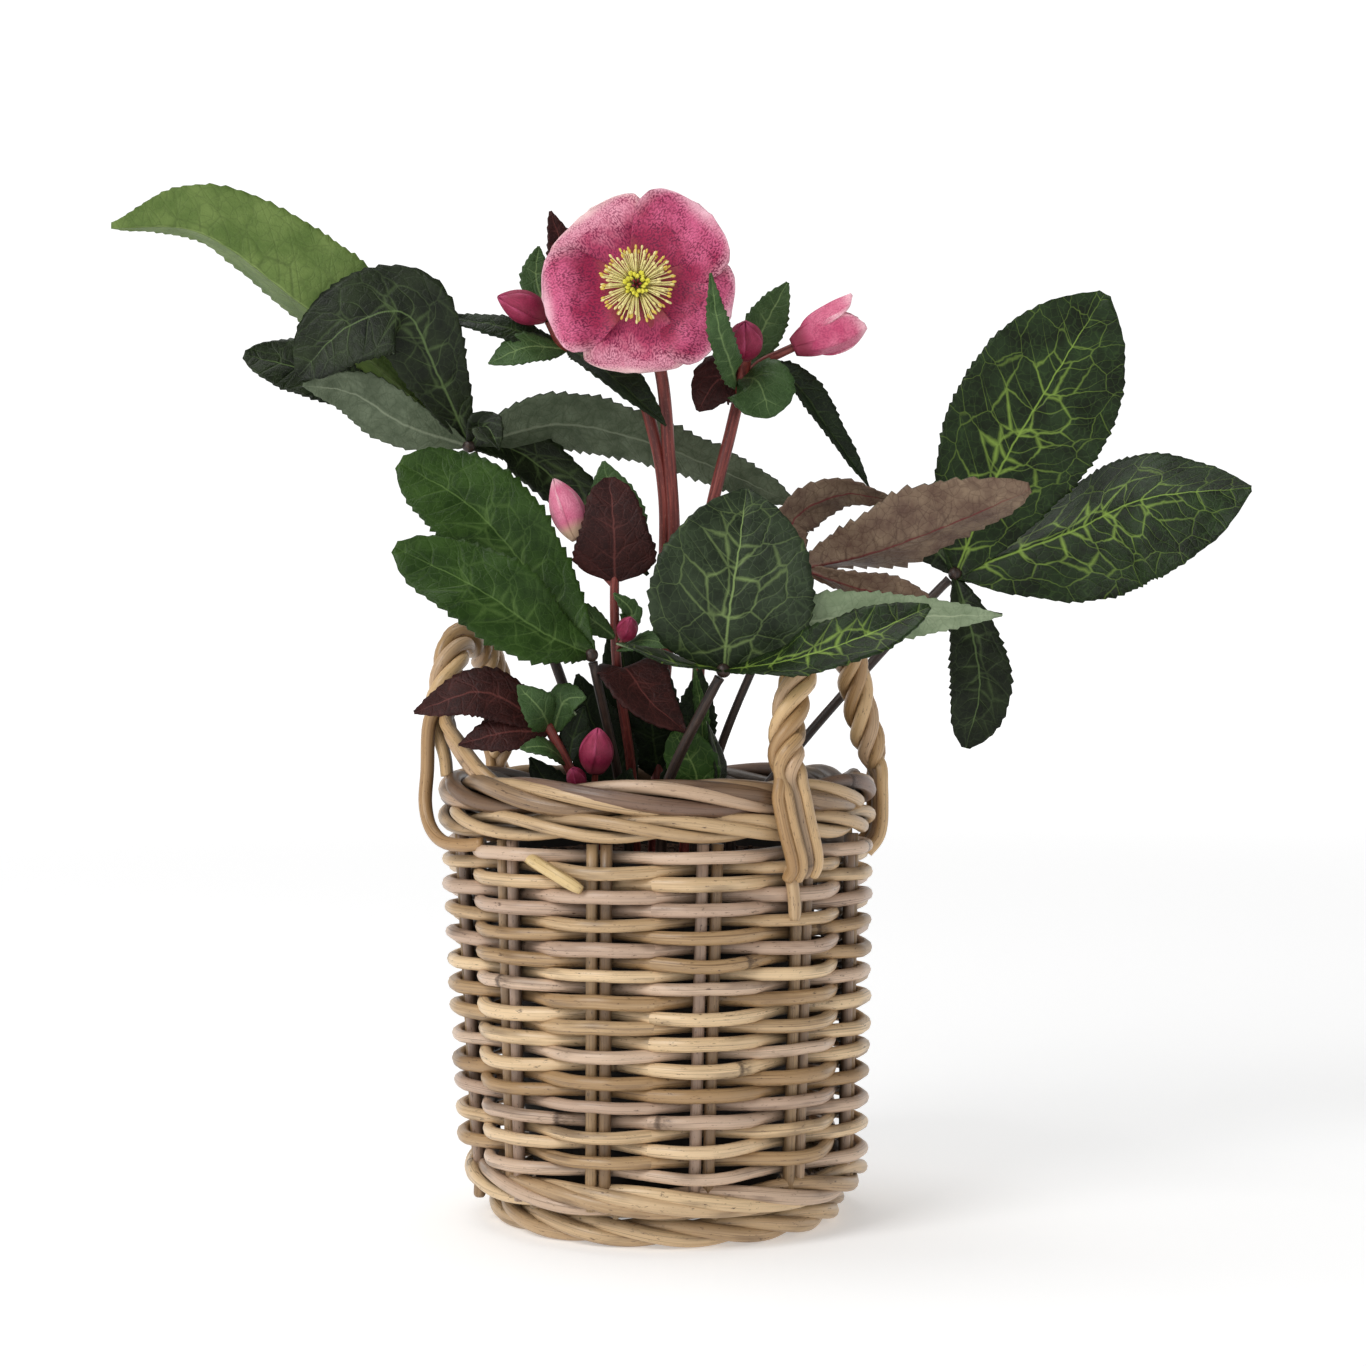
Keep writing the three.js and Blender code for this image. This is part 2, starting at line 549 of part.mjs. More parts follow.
const STEMS = {
  main: {
    colour: '#8e4038', foot: [-1, 5], radius: 2.7,
    stems: [
      { path: [[2, 4, 210], [7, 2, 280], [5, 0, 318], [2, -7, 350], [-5, -20, 375], [-7.6, -27.1, 381]],
        radius: 2.7 },
      { path: [[3, 5, 262], [3, 3, 300], [-1, 3, 325], [-11, 2, 352], [-26, 2, 361], [-39, 0, 364],
        [-45, -1, 374]], radius: 2.5 },
    ],
    bracts: [
      { path: [[-38, 0, 363], [-64, -3, 371], [-93, -6, 375]], width: 6.5, face: [0, -0.75, 0.65] },
      { path: [[-38, 0, 362], [-54, -8, 362], [-70, -10, 355]], width: 9, face: [0, -0.8, 0.6] },
      { path: [[-37, -1, 362], [-22, -12, 352], [4, -12, 329]], width: 12, face: [0.2, -0.7, 0.7],
        fold: 25, rows: 6 },
      { path: [[-43, 2, 371], [-51, 9, 392], [-50, 5, 406]], width: 7, face: [0, -1, 0.2] },
      { path: [[-43, 2, 370], [-38, 8, 396], [-45, 6, 421]], width: 9, face: [0.3, -1, 0] },
      { path: [[-43, -3, 371], [-38, -12, 384], [-46, -16, 396]], width: 6, face: [0, -1, 0.3] },
      { path: [[0.5, 4.5, 186], [-9, 8, 213], [-19, 8, 248]], width: 15, face: [0, -1, 0.2] },
      { path: [[1, 4.5, 181], [-2, -4, 205], [-1, -9, 240]], width: 13, face: [0, -1, 0.3] },
    ],
  },
  right: {
    colour: '#a04a44', foot: [12, 2], radius: 2.6,
    stems: [
      { path: [[17, 2, 220], [21, 0, 285], [31, 0, 328], [36, -1, 350], [37, -5, 357.5]], radius: 2.6 },
      { path: [[35, 0, 347], [43, 1, 356], [52, 0, 360.5], [56.5, 0, 362.5]], radius: 1.9 },
    ],
    bracts: [
      { path: [[35, -2, 350], [42, -13, 347], [47, -17, 332]], width: 14, face: [0, -1, 0.3],
        outline: 'blunt' },
      { path: [[35, 0, 349], [26, -3, 349], [17, -4, 336]], width: 11, face: [0, -1, 0.2],
        outline: 'blunt' },
      { path: [[36, 0.5, 351], [46, 8, 374], [55, 6, 391]], width: 9, face: [-0.2, -1, 0] },
      { path: [[33, -2, 347], [33, -30, 351], [27, -49, 367], [22, -49, 387]], width: 7,
        face: [0.3, -1, 0], rows: 6 },
      { path: [[37, 0.5, 350], [56, 9, 350], [72, 10, 330], [90, 12, 305]], width: 8.5,
        face: [0.5, -0.8, 0.4], fold: 30, rows: 6 },
      { path: [[13.5, 2, 180], [16, -6, 205], [18, -8, 228]], width: 9, face: [0, -1, 0.2] },
      { path: [[12.8, 2, 165], [8, -9, 176], [6, -14, 192]], width: 8, face: [0, -1, 0.4] },
    ],
  },
  middle: {
    colour: '#93402f', foot: [-9, 0], radius: 2,
    stems: [
      { path: [[-11, -12, 190], [-16, -27, 228], [-17, -31, 250], [-17, -31, 268]], radius: 2 },
      { path: [[-17, -31, 262], [-25, -30, 271], [-30.9, -29.6, 281]], radius: 1.4 },
      { path: [[-16, -29, 236], [-14, -35, 239], [-12.9, -38, 240.6]], radius: 1.2 },
    ],
    bracts: [
      { path: [[-17, -32, 264], [-17, -40, 284], [-19, -37, 306]], width: 17, face: [0, -1, 0.2],
        outline: 'heart', rows: 6, across: 2 },
      { path: [[-17, -31, 264], [-17, -20, 290], [-22, -18, 314]], width: 13, face: [0, -1, 0.1] },
      { path: [[-17, -32, 241], [-27, -38, 249], [-38, -40, 254]], width: 6, face: [0, -0.8, 0.6] },
      { path: [[-16, -32, 236], [-4, -40, 240], [8, -44, 237]], width: 6, face: [0, -0.6, 0.8] },
      { path: [[-16, -31, 240], [-10, -34, 251], [-17, -37, 259]], width: 4, face: [0, -1, 0.3] },
      { path: [[-16, -27.5, 228], [-12, -37, 228], [-3, -44, 216], [12, -45, 203]], width: 15,
        face: [0.3, -0.8, 0.5], fold: 12, rows: 6 },
      { path: [[-10.5, -8, 176], [-23, -9, 196], [-33, -13, 226]], width: 14, face: [0, -1, 0.2] },
    ],
  },
  low: {
    colour: '#5a2524', foot: [-24, -24], radius: 2.2,
    stems: [
      { path: [[-27, -32, 168], [-36, -40, 190], [-44, -43, 206]], radius: 2.2 },
      { path: [[-29, -34, 173], [-25, -43, 181], [-24.4, -48, 186.6]], radius: 1.3 },
      { path: [[-27, -32, 168], [-29, -38, 175], [-30.7, -44, 180]], radius: 1.2 },
    ],
    bracts: [
      { path: [[-44, -43, 205], [-69, -49, 219], [-97, -50, 211]], width: 11, face: [0, -0.9, 0.4], rows: 6 },
      { path: [[-43, -43, 203], [-60, -50, 203], [-79, -52, 198]], width: 8.5, face: [0, -0.9, 0.5] },
      { path: [[-43, -42, 204], [-46, -53, 212], [-55, -56, 222]], width: 8, face: [0, -1, 0.5] },
      { path: [[-42, -41, 202], [-36, -48, 216], [-28, -50, 217]], width: 7, face: [0, -1, 0.3] },
      { path: [[-36, -40, 190], [-33, -40, 202], [-29, -42, 213]], width: 6, face: [0, -1, 0] },
      { path: [[-36, -40, 190], [-44, -51, 197], [-54, -55, 197]], width: 5.5, face: [0, -0.8, 0.7] },
      { path: [[-28, -33, 169], [-28, -50, 172], [-20, -61, 177]], width: 6, face: [0, -0.7, 0.8] },
      { path: [[-26, -29, 162], [-17, -36, 172], [-10, -42, 188]], width: 9, face: [0, -1, 0.4] },
      { path: [[-27, -31, 166], [-40, -28, 176], [-52, -26, 192]], width: 9, face: [0, -1, 0.4] },
    ],
  },
};

function stemNode(name, { colour, foot, stems, bracts }) {
  const [first, ...forks] = stems;
  const pieces = [stem([...rooted(foot), ...first.path], first.radius)];
  forks.forEach(({ path, radius }) => pieces.push(stem(path, radius)));
  bracts.forEach((bract) => pieces.push(blade({ ...BRACT, ...bract })));
  return node(`${name}_flower_stem`, fuse(pieces), colour, 0.5);
}

// ---------------------------------------------------------------- flower and buds

const FLOWER = [-7.8, -31, 383.6];
const BOSS_LENGTH = 5.2;
const CUSHION = 2.8;
const STAMENS = 28;

// The way each sepal points, in degrees from the top, how far forward it stands, its reach and half width.
const SEPALS = [
  [322, 0, 38, 23], [182, 0.8, 36.5, 22], [113, 1.8, 42, 24], [42, 2.8, 44, 24], [257, 2.9, 41, 23],
];

// Five broad sepals, each a little in front of the one behind it, on a small boss.
function openFlower() {
  const boss = new THREE.CylinderGeometry(4.6, 4.6, BOSS_LENGTH + 2, 8);
  boss.translate(FLOWER[0], FLOWER[1] + 1 - BOSS_LENGTH / 2, FLOWER[2]);
  const sepals = SEPALS.map(([fromTop, order, length, width]) => {
    const angle = THREE.MathUtils.degToRad(fromTop);
    const [x, z] = [Math.sin(angle), Math.cos(angle)];
    const at = (reach, forward) => [FLOWER[0] + reach * x, FLOWER[1] - forward, FLOWER[2] + reach * z];
    return blade({
      path: [at(2, 0.4 + 0.4 * order), at(16, 1 + order), at(29, 3.4 + order), at(length, 3 + order)],
      width, face: [0, -1, 0], fold: 3, teeth: 0, rows: 8, outline: 'sepal',
    });
  });
  return fuse([solidOf(boss), ...sepals]);
}

// Club-shaped stamens round a small cushion of nectaries.
function stamens() {
  const middle = [FLOWER[0], FLOWER[1] - BOSS_LENGTH - GAP - CUSHION / 2, FLOWER[2]];
  const cushion = new THREE.CylinderGeometry(5, 4.4, CUSHION, 10);
  cushion.translate(...middle);
  const pieces = [solidOf(cushion)];
  for (let i = 0; i < STAMENS; i += 1) {
    const angle = (2 * Math.PI * i) / STAMENS;
    const [reach, forward] = i % 2 ? [14.5, 5] : [9.5, 7];
    const out = new THREE.Vector3(Math.sin(angle), 0, Math.cos(angle));
    const root = vector(middle).addScaledVector(out, 3.6);
    const head = vector(middle).addScaledVector(out, reach).setY(middle[1] - forward);
    const across = new THREE.Vector3().crossVectors(new THREE.Vector3(0, 1, 0), out);
    const section = (at, size) => [0, 1, 2].map((k) => at.clone()
      .addScaledVector(across, size * Math.cos((2 * Math.PI * k) / 3))
      .addScaledVector(new THREE.Vector3(0, 1, 0), size * Math.sin((2 * Math.PI * k) / 3)));
    pieces.push(skin([section(root, 0.45), section(head, 0.95)], false));
  }
  return fuse(pieces);
}

// A half-open bud: a furled heart with three sepals that stand out from it.
function openingBud() {
  const base = vector([57, 0, 362.8]);
  const tip = vector([84.4, -2, 375]);
  const axis = tip.clone().sub(base);
  const along = axis.clone().normalize();
  const up = new THREE.Vector3(0, 0, 1).addScaledVector(along, -along.z).normalize();
  const side = new THREE.Vector3().crossVectors(along, up);
  const pieces = [bud({ base: base.toArray(), tip: tip.toArray(), radius: 8 })];
  for (const [turn, flare] of [[0.2, 10.5], [2.3, 8.5], [4.4, 9.5]]) {
    const out = up.clone().multiplyScalar(Math.cos(turn)).addScaledVector(side, Math.sin(turn));
    const at = (share, reach) => base.clone()
      .addScaledVector(axis, share)
      .addScaledVector(out, reach)
      .toArray();
    pieces.push(blade({
      path: [at(0.04, 1), at(0.3, 8.4), at(0.7, 10.6), at(1.04, flare)],
      width: 11, face: out.toArray(), fold: -28, teeth: 0, rows: 4, across: 1, outline: 'sepal',
    }));
  }
  return fuse(pieces);
}

const BUDS = {
  left_top_bud: { base: [-46.3, -1.7, 375.9], tip: [-66.3, -9.7, 382.9], radius: 7, colour: '#b04468' },
  round_bud: { base: [37, -6, 358.8], tip: [36.5, -21, 371], radius: 7.4, colour: '#8c2440' },
  middle_bud: { base: [-31.1, -29.6, 281.5], tip: [-42, -30, 306], radius: 7.2, colour: '#d07890' },
  small_bud: { base: [-12.8, -38.4, 240.9], tip: [-10, -48, 249], radius: 4.4, colour: '#b8486a' },
  low_bud: { base: [-24.4, -48.4, 187], tip: [-23, -54, 205], radius: 7, colour: '#a03050' },
  lowest_bud: { base: [-30.9, -44.7, 180.7], tip: [-33, -55, 189], radius: 4, colour: '#a03050' },
};

// ---------------------------------------------------------------- the object

const standing = [...Object.values(LEAVES), ...Object.values(STEMS)];
const object = new THREE.Group();
object.position.set(...BASKET_AXIS);
object.add(
  node('foot_ring', footRing(), '#a98f6e', 0.7),
  node('base_disc', baseDisc(), '#8a7052', 0.8),
  node('woven_wall', wovenWall(), '#b89c78', 0.65),
  node('rim_border', rimBorder(), '#8f7252', 0.65),
  node('left_handle', handle(LEFT_HANDLE), '#c4a272', 0.55),
  node('right_handle', handle(RIGHT_HANDLE), '#c4a272', 0.55),
  node('nursery_pot', nurseryPot(), '#2a2522', 0.6),
  node('soil', soil(standing), '#2b2018', 0.95),
);
Object.entries(LEAVES).forEach(([name, leaf]) => object.add(...leafNodes(name, leaf)));
Object.entries(STEMS).forEach(([name, spray]) => object.add(stemNode(name, spray)));
object.add(node('flower', openFlower(), '#c8507a', 0.5));
object.add(node('flower_stamens', stamens(), '#e8d878', 0.6));
object.add(node('opening_bud', openingBud(), '#dc8098', 0.5));
Object.entries(BUDS).forEach(([name, { colour, ...shape }]) => {
  object.add(node(name, bud(shape), colour, 0.5));
});

export default object;
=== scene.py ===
import math
import random

import bpy
import numpy as np
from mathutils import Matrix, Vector


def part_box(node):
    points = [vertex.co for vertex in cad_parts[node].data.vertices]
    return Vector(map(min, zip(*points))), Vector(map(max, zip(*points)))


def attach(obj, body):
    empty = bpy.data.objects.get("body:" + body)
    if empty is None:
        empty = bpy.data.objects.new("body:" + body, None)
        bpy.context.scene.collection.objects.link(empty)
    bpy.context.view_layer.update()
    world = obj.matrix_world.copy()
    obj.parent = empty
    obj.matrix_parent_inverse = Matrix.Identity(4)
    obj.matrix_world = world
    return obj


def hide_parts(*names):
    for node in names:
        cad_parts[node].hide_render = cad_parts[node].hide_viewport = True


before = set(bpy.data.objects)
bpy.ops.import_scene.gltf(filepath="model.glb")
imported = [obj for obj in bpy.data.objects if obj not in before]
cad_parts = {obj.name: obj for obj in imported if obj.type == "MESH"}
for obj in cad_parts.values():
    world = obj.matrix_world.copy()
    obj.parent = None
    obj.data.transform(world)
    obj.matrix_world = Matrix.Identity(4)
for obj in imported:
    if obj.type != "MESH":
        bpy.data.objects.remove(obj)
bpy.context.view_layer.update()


# ---------------------------------------------------------------- studio
# A pale floor inside a round white wall, one large soft lamp in front on the left and a weaker one above, and
# a long lens that looks level at the plant. Places are given in millimetres from the axis of the basket.
pot_low, pot_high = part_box("nursery_pot")
AXIS = np.array([(pot_low.x + pot_high.x) / 2, (pot_low.y + pot_high.y) / 2, 0.0])


def at(place):
    """A place, or an array of places, in millimetres from the basket's axis, as metres in the frame."""
    return np.asarray(place, float) / 1000 + AXIS


def hue(text):
    """A colour written as six hex digits, as the linear colour that a shader takes."""
    parts = [int(text[i:i + 2], 16) / 255 for i in (0, 2, 4)]
    return (*[p / 12.92 if p <= 0.04045 else ((p + 0.055) / 1.055) ** 2.4 for p in parts], 1.0)


ROOM_RADIUS = 12.0
bpy.ops.object.select_all(action="DESELECT")
bpy.ops.mesh.primitive_plane_add(size=2 * ROOM_RADIUS, location=(0, 0, 0))
floor = bpy.context.object
floor.name = "studio_floor"
paper = bpy.data.materials.new("studio_paper")
paper.use_nodes = True
paper_nodes = paper.node_tree.nodes
paper_shader = paper_nodes["Principled BSDF"]
paper_shader.inputs["Base Color"].default_value = (0.85, 0.85, 0.85, 1)
paper_shader.inputs["Roughness"].default_value = 0.9
paper_shader.inputs["Specular IOR Level"].default_value = 0.0
paper_shader.inputs["Emission Color"].default_value = (1, 1, 1, 1)
# The paper is a little brighter far away from the middle of the floor.
paper_uv = paper_nodes.new("ShaderNodeUVMap")
paper_uv.uv_map = "UVMap"
paper_reach = paper_nodes.new("ShaderNodeVectorMath")
paper_reach.operation = "DISTANCE"
paper_reach.inputs[1].default_value = (0.5, 0.5, 0)
paper_glow = paper_nodes.new("ShaderNodeMapRange")
paper_glow.inputs["From Min"].default_value = 0.02
paper_glow.inputs["From Max"].default_value = 0.16
paper_glow.inputs["To Min"].default_value = 0.34
paper_glow.inputs["To Max"].default_value = 0.8
paper.node_tree.links.new(paper_uv.outputs[0], paper_reach.inputs[0])
paper.node_tree.links.new(paper_reach.outputs["Value"], paper_glow.inputs["Value"])
paper.node_tree.links.new(paper_glow.outputs[0], paper_shader.inputs["Emission Strength"])
floor.data.materials.append(paper)

bpy.ops.object.select_all(action="DESELECT")
bpy.ops.mesh.primitive_cylinder_add(vertices=96, radius=ROOM_RADIUS - 0.1, depth=4, end_fill_type="NOTHING",
                                    location=(0, 0, 1.9))
wall = bpy.context.object
wall.name = "studio_wall"
wall_paint = bpy.data.materials.new("studio_wall_paint")
wall_paint.use_nodes = True
wall_shader = wall_paint.node_tree.nodes["Principled BSDF"]
wall_shader.inputs["Base Color"].default_value = (0.05, 0.05, 0.05, 1)
wall_shader.inputs["Roughness"].default_value = 1.0
wall_shader.inputs["Emission Color"].default_value = (1, 1, 1, 1)
wall_shader.inputs["Emission Strength"].default_value = 1.05
wall.data.materials.append(wall_paint)

world = bpy.context.scene.world or bpy.data.worlds.new("studio_air")
bpy.context.scene.world = world
world.use_nodes = True
world.node_tree.nodes["Background"].inputs["Color"].default_value = (1, 1, 1, 1)
world.node_tree.nodes["Background"].inputs["Strength"].default_value = 0.3

LOOKED_AT = (0, 0, 200)
for label, place, size, power in (
    ("lamp_left", (-1000, -1150, 1350), 0.9, 17),
    ("lamp_top", (-300, 350, 2050), 1.3, 12),
):
    lamp = bpy.data.lights.new(label, "AREA")
    lamp.shape = "DISK"
    lamp.size = size
    lamp.energy = power
    lamp_object = bpy.data.objects.new(label, lamp)
    bpy.context.collection.objects.link(lamp_object)
    lamp_object.location = at(place)
    aim = Vector(at(LOOKED_AT)) - lamp_object.location
    lamp_object.rotation_euler = aim.to_track_quat("-Z", "Y").to_euler()

# The frame's width and the lens's focal length, both in dots of the frame, and the degrees that it looks down.
FRAME_WIDTH = 1366
FOCAL_LENGTH = 2600
LOOKS_DOWN = 0.727
bpy.ops.object.camera_add(location=at((10.9, -1092, 236)))
camera = bpy.context.object
camera.data.sensor_width = 36
camera.data.lens = camera.data.sensor_width * FOCAL_LENGTH / FRAME_WIDTH
camera.rotation_euler = (math.radians(90 - LOOKS_DOWN), 0, 0)
camera.data.clip_start = 0.05
bpy.context.scene.camera = camera
bpy.context.scene.view_settings.view_transform = "Standard"


# ---------------------------------------------------------------- foot ring
# Three long rattan rods are laid round the bottom as a loose rope and nailed under the woven base, so
# that the basket stands on them. Rattan is a solid cane with long fibres and a dark joint now and then.
class Finish:
    """A material that is put together from nodes."""

    def __init__(self, name, roughness, specular=0.5):
        self.material = bpy.data.materials.new(name)
        self.material.use_nodes = True
        self.tree = self.material.node_tree
        self.shader = self.tree.nodes["Principled BSDF"]
        self.shader.inputs["Roughness"].default_value = roughness
        self.shader.inputs["Specular IOR Level"].default_value = specular

    def add(self, kind, inputs=None, **settings):
        made = self.tree.nodes.new(kind)
        for setting, value in settings.items():
            setattr(made, setting, value)
        for socket, value in (inputs or {}).items():
            self.feed(made.inputs[socket], value)
        return made

    def feed(self, socket, value):
        """Links another node's result, or sets a number or a colour that is written as six hex digits."""
        if isinstance(value, bpy.types.NodeSocket):
            self.tree.links.new(value, socket)
        else:
            socket.default_value = hue(value) if isinstance(value, str) else value

    def span(self, layer="UVMap"):
        """The two coordinates of a UV layer."""
        uv = self.add("ShaderNodeUVMap", uv_map=layer)
        split = self.add("ShaderNodeSeparateXYZ", {0: uv.outputs[0]})
        return split.outputs[0], split.outputs[1]

    def places(self):
        """Each point's place in the object, for a finish that doesn't follow the surface."""
        return self.add("ShaderNodeTexCoord").outputs["Object"]

    def painted(self, name):
        """What the mesh says at each point under that name."""
        return self.add("ShaderNodeAttribute", attribute_name=name).outputs["Fac"]

    def sums(self, operation, first, second=0.0, third=0.0):
        return self.add("ShaderNodeMath", {0: first, 1: second, 2: third}, operation=operation).outputs[0]

    def times(self, first, second):
        return self.sums("MULTIPLY", first, second)

    def vector(self, x, y, z=0.0):
        return self.add("ShaderNodeCombineXYZ", {0: x, 1: y, 2: z}).outputs[0]

    def scaled(self, x, by_x, y, by_y, z=0.0):
        return self.vector(self.times(x, by_x), self.times(y, by_y), z)

    def noise(self, where, scale, detail=3.0, rough=0.5):
        return self.add("ShaderNodeTexNoise", {"Vector": where, "Scale": scale, "Detail": detail,
                                               "Roughness": rough}).outputs[0]

    def cells(self, where, scale):
        """How far each point is from the edge of its cell in a net."""
        return self.add("ShaderNodeTexVoronoi", {"Vector": where, "Scale": scale},
                        feature="DISTANCE_TO_EDGE").outputs[0]

    def ramp(self, value, low, high, start=0.0, end=1.0, shape="SMOOTHSTEP"):
        return self.add("ShaderNodeMapRange", {"Value": value, "From Min": low, "From Max": high,
                                               "To Min": start, "To Max": end}, interpolation_type=shape).outputs[0]

    def mix(self, share, first, second):
        return self.add("ShaderNodeMix", {0: share, 6: first, 7: second}, data_type="RGBA").outputs[2]

    def colour(self, value):
        self.feed(self.shader.inputs["Base Color"], value)

    def relief(self, height, distance, strength=1.0):
        bump = self.add("ShaderNodeBump", {"Height": height, "Distance": distance, "Strength": strength})
        self.feed(self.shader.inputs["Normal"], bump.outputs[0])


# The wall gets narrower down to its foot, which stands a little to the right: its height, that shift in
# millimetres, and the share of its width that it loses.
WALL_TOP = 160.8
FOOT_SHIFT = 4.0
TAPER = 0.06
JOINT_BROWN = "3A2618"
# Painted shade: the dark brown that the crevices between strands and the deep parts of the wall are darkened with.
PAINTED_SHADE_BROWN = "1C120B"


def rattan(name, light, middle, dark, grey="BCA292", joint=1.0, depth=None):
    """Cane: long fibres, a tone of its own for each rod, stains, and thin dark joints some way apart, with painted
    shade in the crevices of ropes and borders. depth is how far from the basket's axis the painted shade deep in the
    wall begins and ends, in millimetres."""
    finish = Finish(name, roughness=0.36)
    round_it, along = finish.span()
    tone = finish.painted("tone")
    shift = finish.times(tone, 31.0)
    streaks = finish.noise(finish.scaled(round_it, 11.0, along, 1.3, shift), 1.5, 5.0, 0.7)
    patches = finish.noise(finish.scaled(round_it, 1.2, along, 3.0, shift), 1.0)
    shade = finish.sums("ADD", finish.times(streaks, 0.6), finish.times(tone, 0.6))
    body = finish.mix(finish.ramp(shade, 0.32, 0.78), middle, light)
    other = finish.sums("FRACT", finish.times(tone, 7.3))
    body = finish.mix(finish.ramp(other, 0.62, 0.8, 0.0, 0.65), body, grey)
    body = finish.mix(finish.ramp(patches, 0.5, 0.75, 0.0, 0.6), body, dark)
    specks = finish.noise(finish.scaled(round_it, 6.0, along, 9.0, shift), 3.2, 4.0, 0.7)
    body = finish.mix(finish.ramp(specks, 0.59, 0.7, 0.0, 0.85), body, dark)
    fibres = finish.noise(finish.scaled(round_it, 26.0, along, 1.1, shift), 1.6, 3.0, 0.6)
    body = finish.mix(finish.ramp(fibres, 0.52, 0.7, 0.0, 0.55), body, dark)
    # Every so often comes a joint: a thin dark ring, with a stain that fades off to one side of it.
    turn = finish.sums("FRACT", finish.sums("ADD", finish.times(along, 0.21), shift))
    off = finish.sums("SUBTRACT", turn, 0.5)
    ring = finish.ramp(finish.sums("MULTIPLY_ADD", finish.sums("SUBTRACT", specks, 0.5), 0.01,
                                   finish.sums("ABSOLUTE", off)), 0.003, 0.0006, 0.0, joint)
    halo = finish.times(finish.ramp(off, 0.02, 0.0), finish.ramp(off, -0.002, 0.001, 0.0, joint))
    halo = finish.times(halo, finish.ramp(specks, 0.4, 0.6, 0.1, 0.75))
    body = finish.mix(halo, body, dark)
    body = finish.mix(finish.times(ring, 0.6), body, JOINT_BROWN)
    # Painted shade in the crevices between strands, where a rod is marked as lying close to the middle of its rope or
    # border.
    body = finish.mix(finish.times(finish.painted("crevice_shade"), 0.8), body, PAINTED_SHADE_BROWN)
    # Painted shade darkens the parts that lie deep in the wall, whose middle and width change with the height.
    if depth:
        place = finish.add("ShaderNodeSeparateXYZ", {0: finish.places()}).outputs
        down = finish.ramp(place[2], WALL_TOP / 1000, 0.0)
        x = finish.sums("SUBTRACT", finish.sums("SUBTRACT", place[0], AXIS[0]), finish.times(down, FOOT_SHIFT / 1000))
        y = finish.sums("SUBTRACT", place[1], AXIS[1])
        reach = finish.sums("SQRT", finish.sums("ADD", finish.times(x, x), finish.times(y, y)))
        reach = finish.sums("DIVIDE", reach, finish.sums("MULTIPLY_ADD", down, -TAPER, 1.0))
        painted_deep_shade = finish.ramp(reach, depth[0] / 1000, depth[1] / 1000, 0.9, 0.0)
        body = finish.mix(painted_deep_shade, body, PAINTED_SHADE_BROWN)
    finish.colour(body)
    grain = finish.noise(finish.vector(finish.times(round_it, 22.0), along, shift), 2.0, 2.0)
    height = finish.sums("ADD", grain, finish.times(finish.sums("SUBTRACT", halo, ring), 2.0))
    finish.relief(height, 0.0003, 0.5)
    return finish.material


def smooth_way(points, count):
    """Evenly numbered places on the soft curve through the given ones."""
    pts = np.asarray(points, float)
    pts = np.vstack([2 * pts[0] - pts[1], pts, 2 * pts[-1] - pts[-2]])
    found = []
    for step in np.linspace(0, len(pts) - 3, count):
        i = min(int(step), len(pts) - 4)
        w = step - i
        p0, p1, p2, p3 = pts[i:i + 4]
        d0, d1, d2 = (max(np.linalg.norm(b - a) ** 0.5, 1e-4) for a, b in ((p0, p1), (p1, p2), (p2, p3)))
        m1 = ((p1 - p0) / d0 - (p2 - p0) / (d0 + d1) + (p2 - p1) / d1) * d1
        m2 = ((p2 - p1) / d1 - (p3 - p1) / (d1 + d2) + (p3 - p2) / d2) * d1
        found.append(p1 + m1 * w + (3 * (p2 - p1) - 2 * m1 - m2) * w ** 2 + (2 * (p1 - p2) + m1 + m2) * w ** 3)
    return np.array(found)


def unit(vectors):
    """The same directions, each of length one."""
    return vectors / np.maximum(np.linalg.norm(vectors, axis=-1, keepdims=True), 1e-9)


def points_of(sheet):
    flat = np.empty(3 * len(sheet.data.vertices))
    sheet.data.vertices.foreach_get("co", flat)
    return flat.reshape(-1, 3)


def new_sheet(name, across, along):
    """A flat grid to be shaped, and where each of its points lies on it, from 0 to 1 each way."""
    bpy.ops.object.select_all(action="DESELECT")
    bpy.ops.mesh.primitive_grid_add(x_subdivisions=across, y_subdivisions=along, size=2)
    sheet = bpy.context.object
    sheet.name = name
    flat = points_of(sheet)
    return sheet, (flat[:, 0] + 1) / 2, (flat[:, 1] + 1) / 2


def lay(sheet, places):
    """Moves each point of a sheet to its place, given in millimetres from the basket's axis."""
    sheet.data.vertices.foreach_set("co", at(places).ravel())
    sheet.data.update()


def close_up(sheet, material):
    """Merges the points that meet, closes open ends, turns the faces outwards and gives the sheet its finish."""
    bpy.ops.object.mode_set(mode="EDIT")
    bpy.ops.mesh.select_all(action="SELECT")
    bpy.ops.mesh.remove_doubles(threshold=1e-6)
    bpy.ops.mesh.fill_holes(sides=0)
    bpy.ops.mesh.normals_make_consistent(inside=False)
    bpy.ops.object.mode_set(mode="OBJECT")
    sheet.data.materials.append(material)
    sheet.data.shade_smooth()


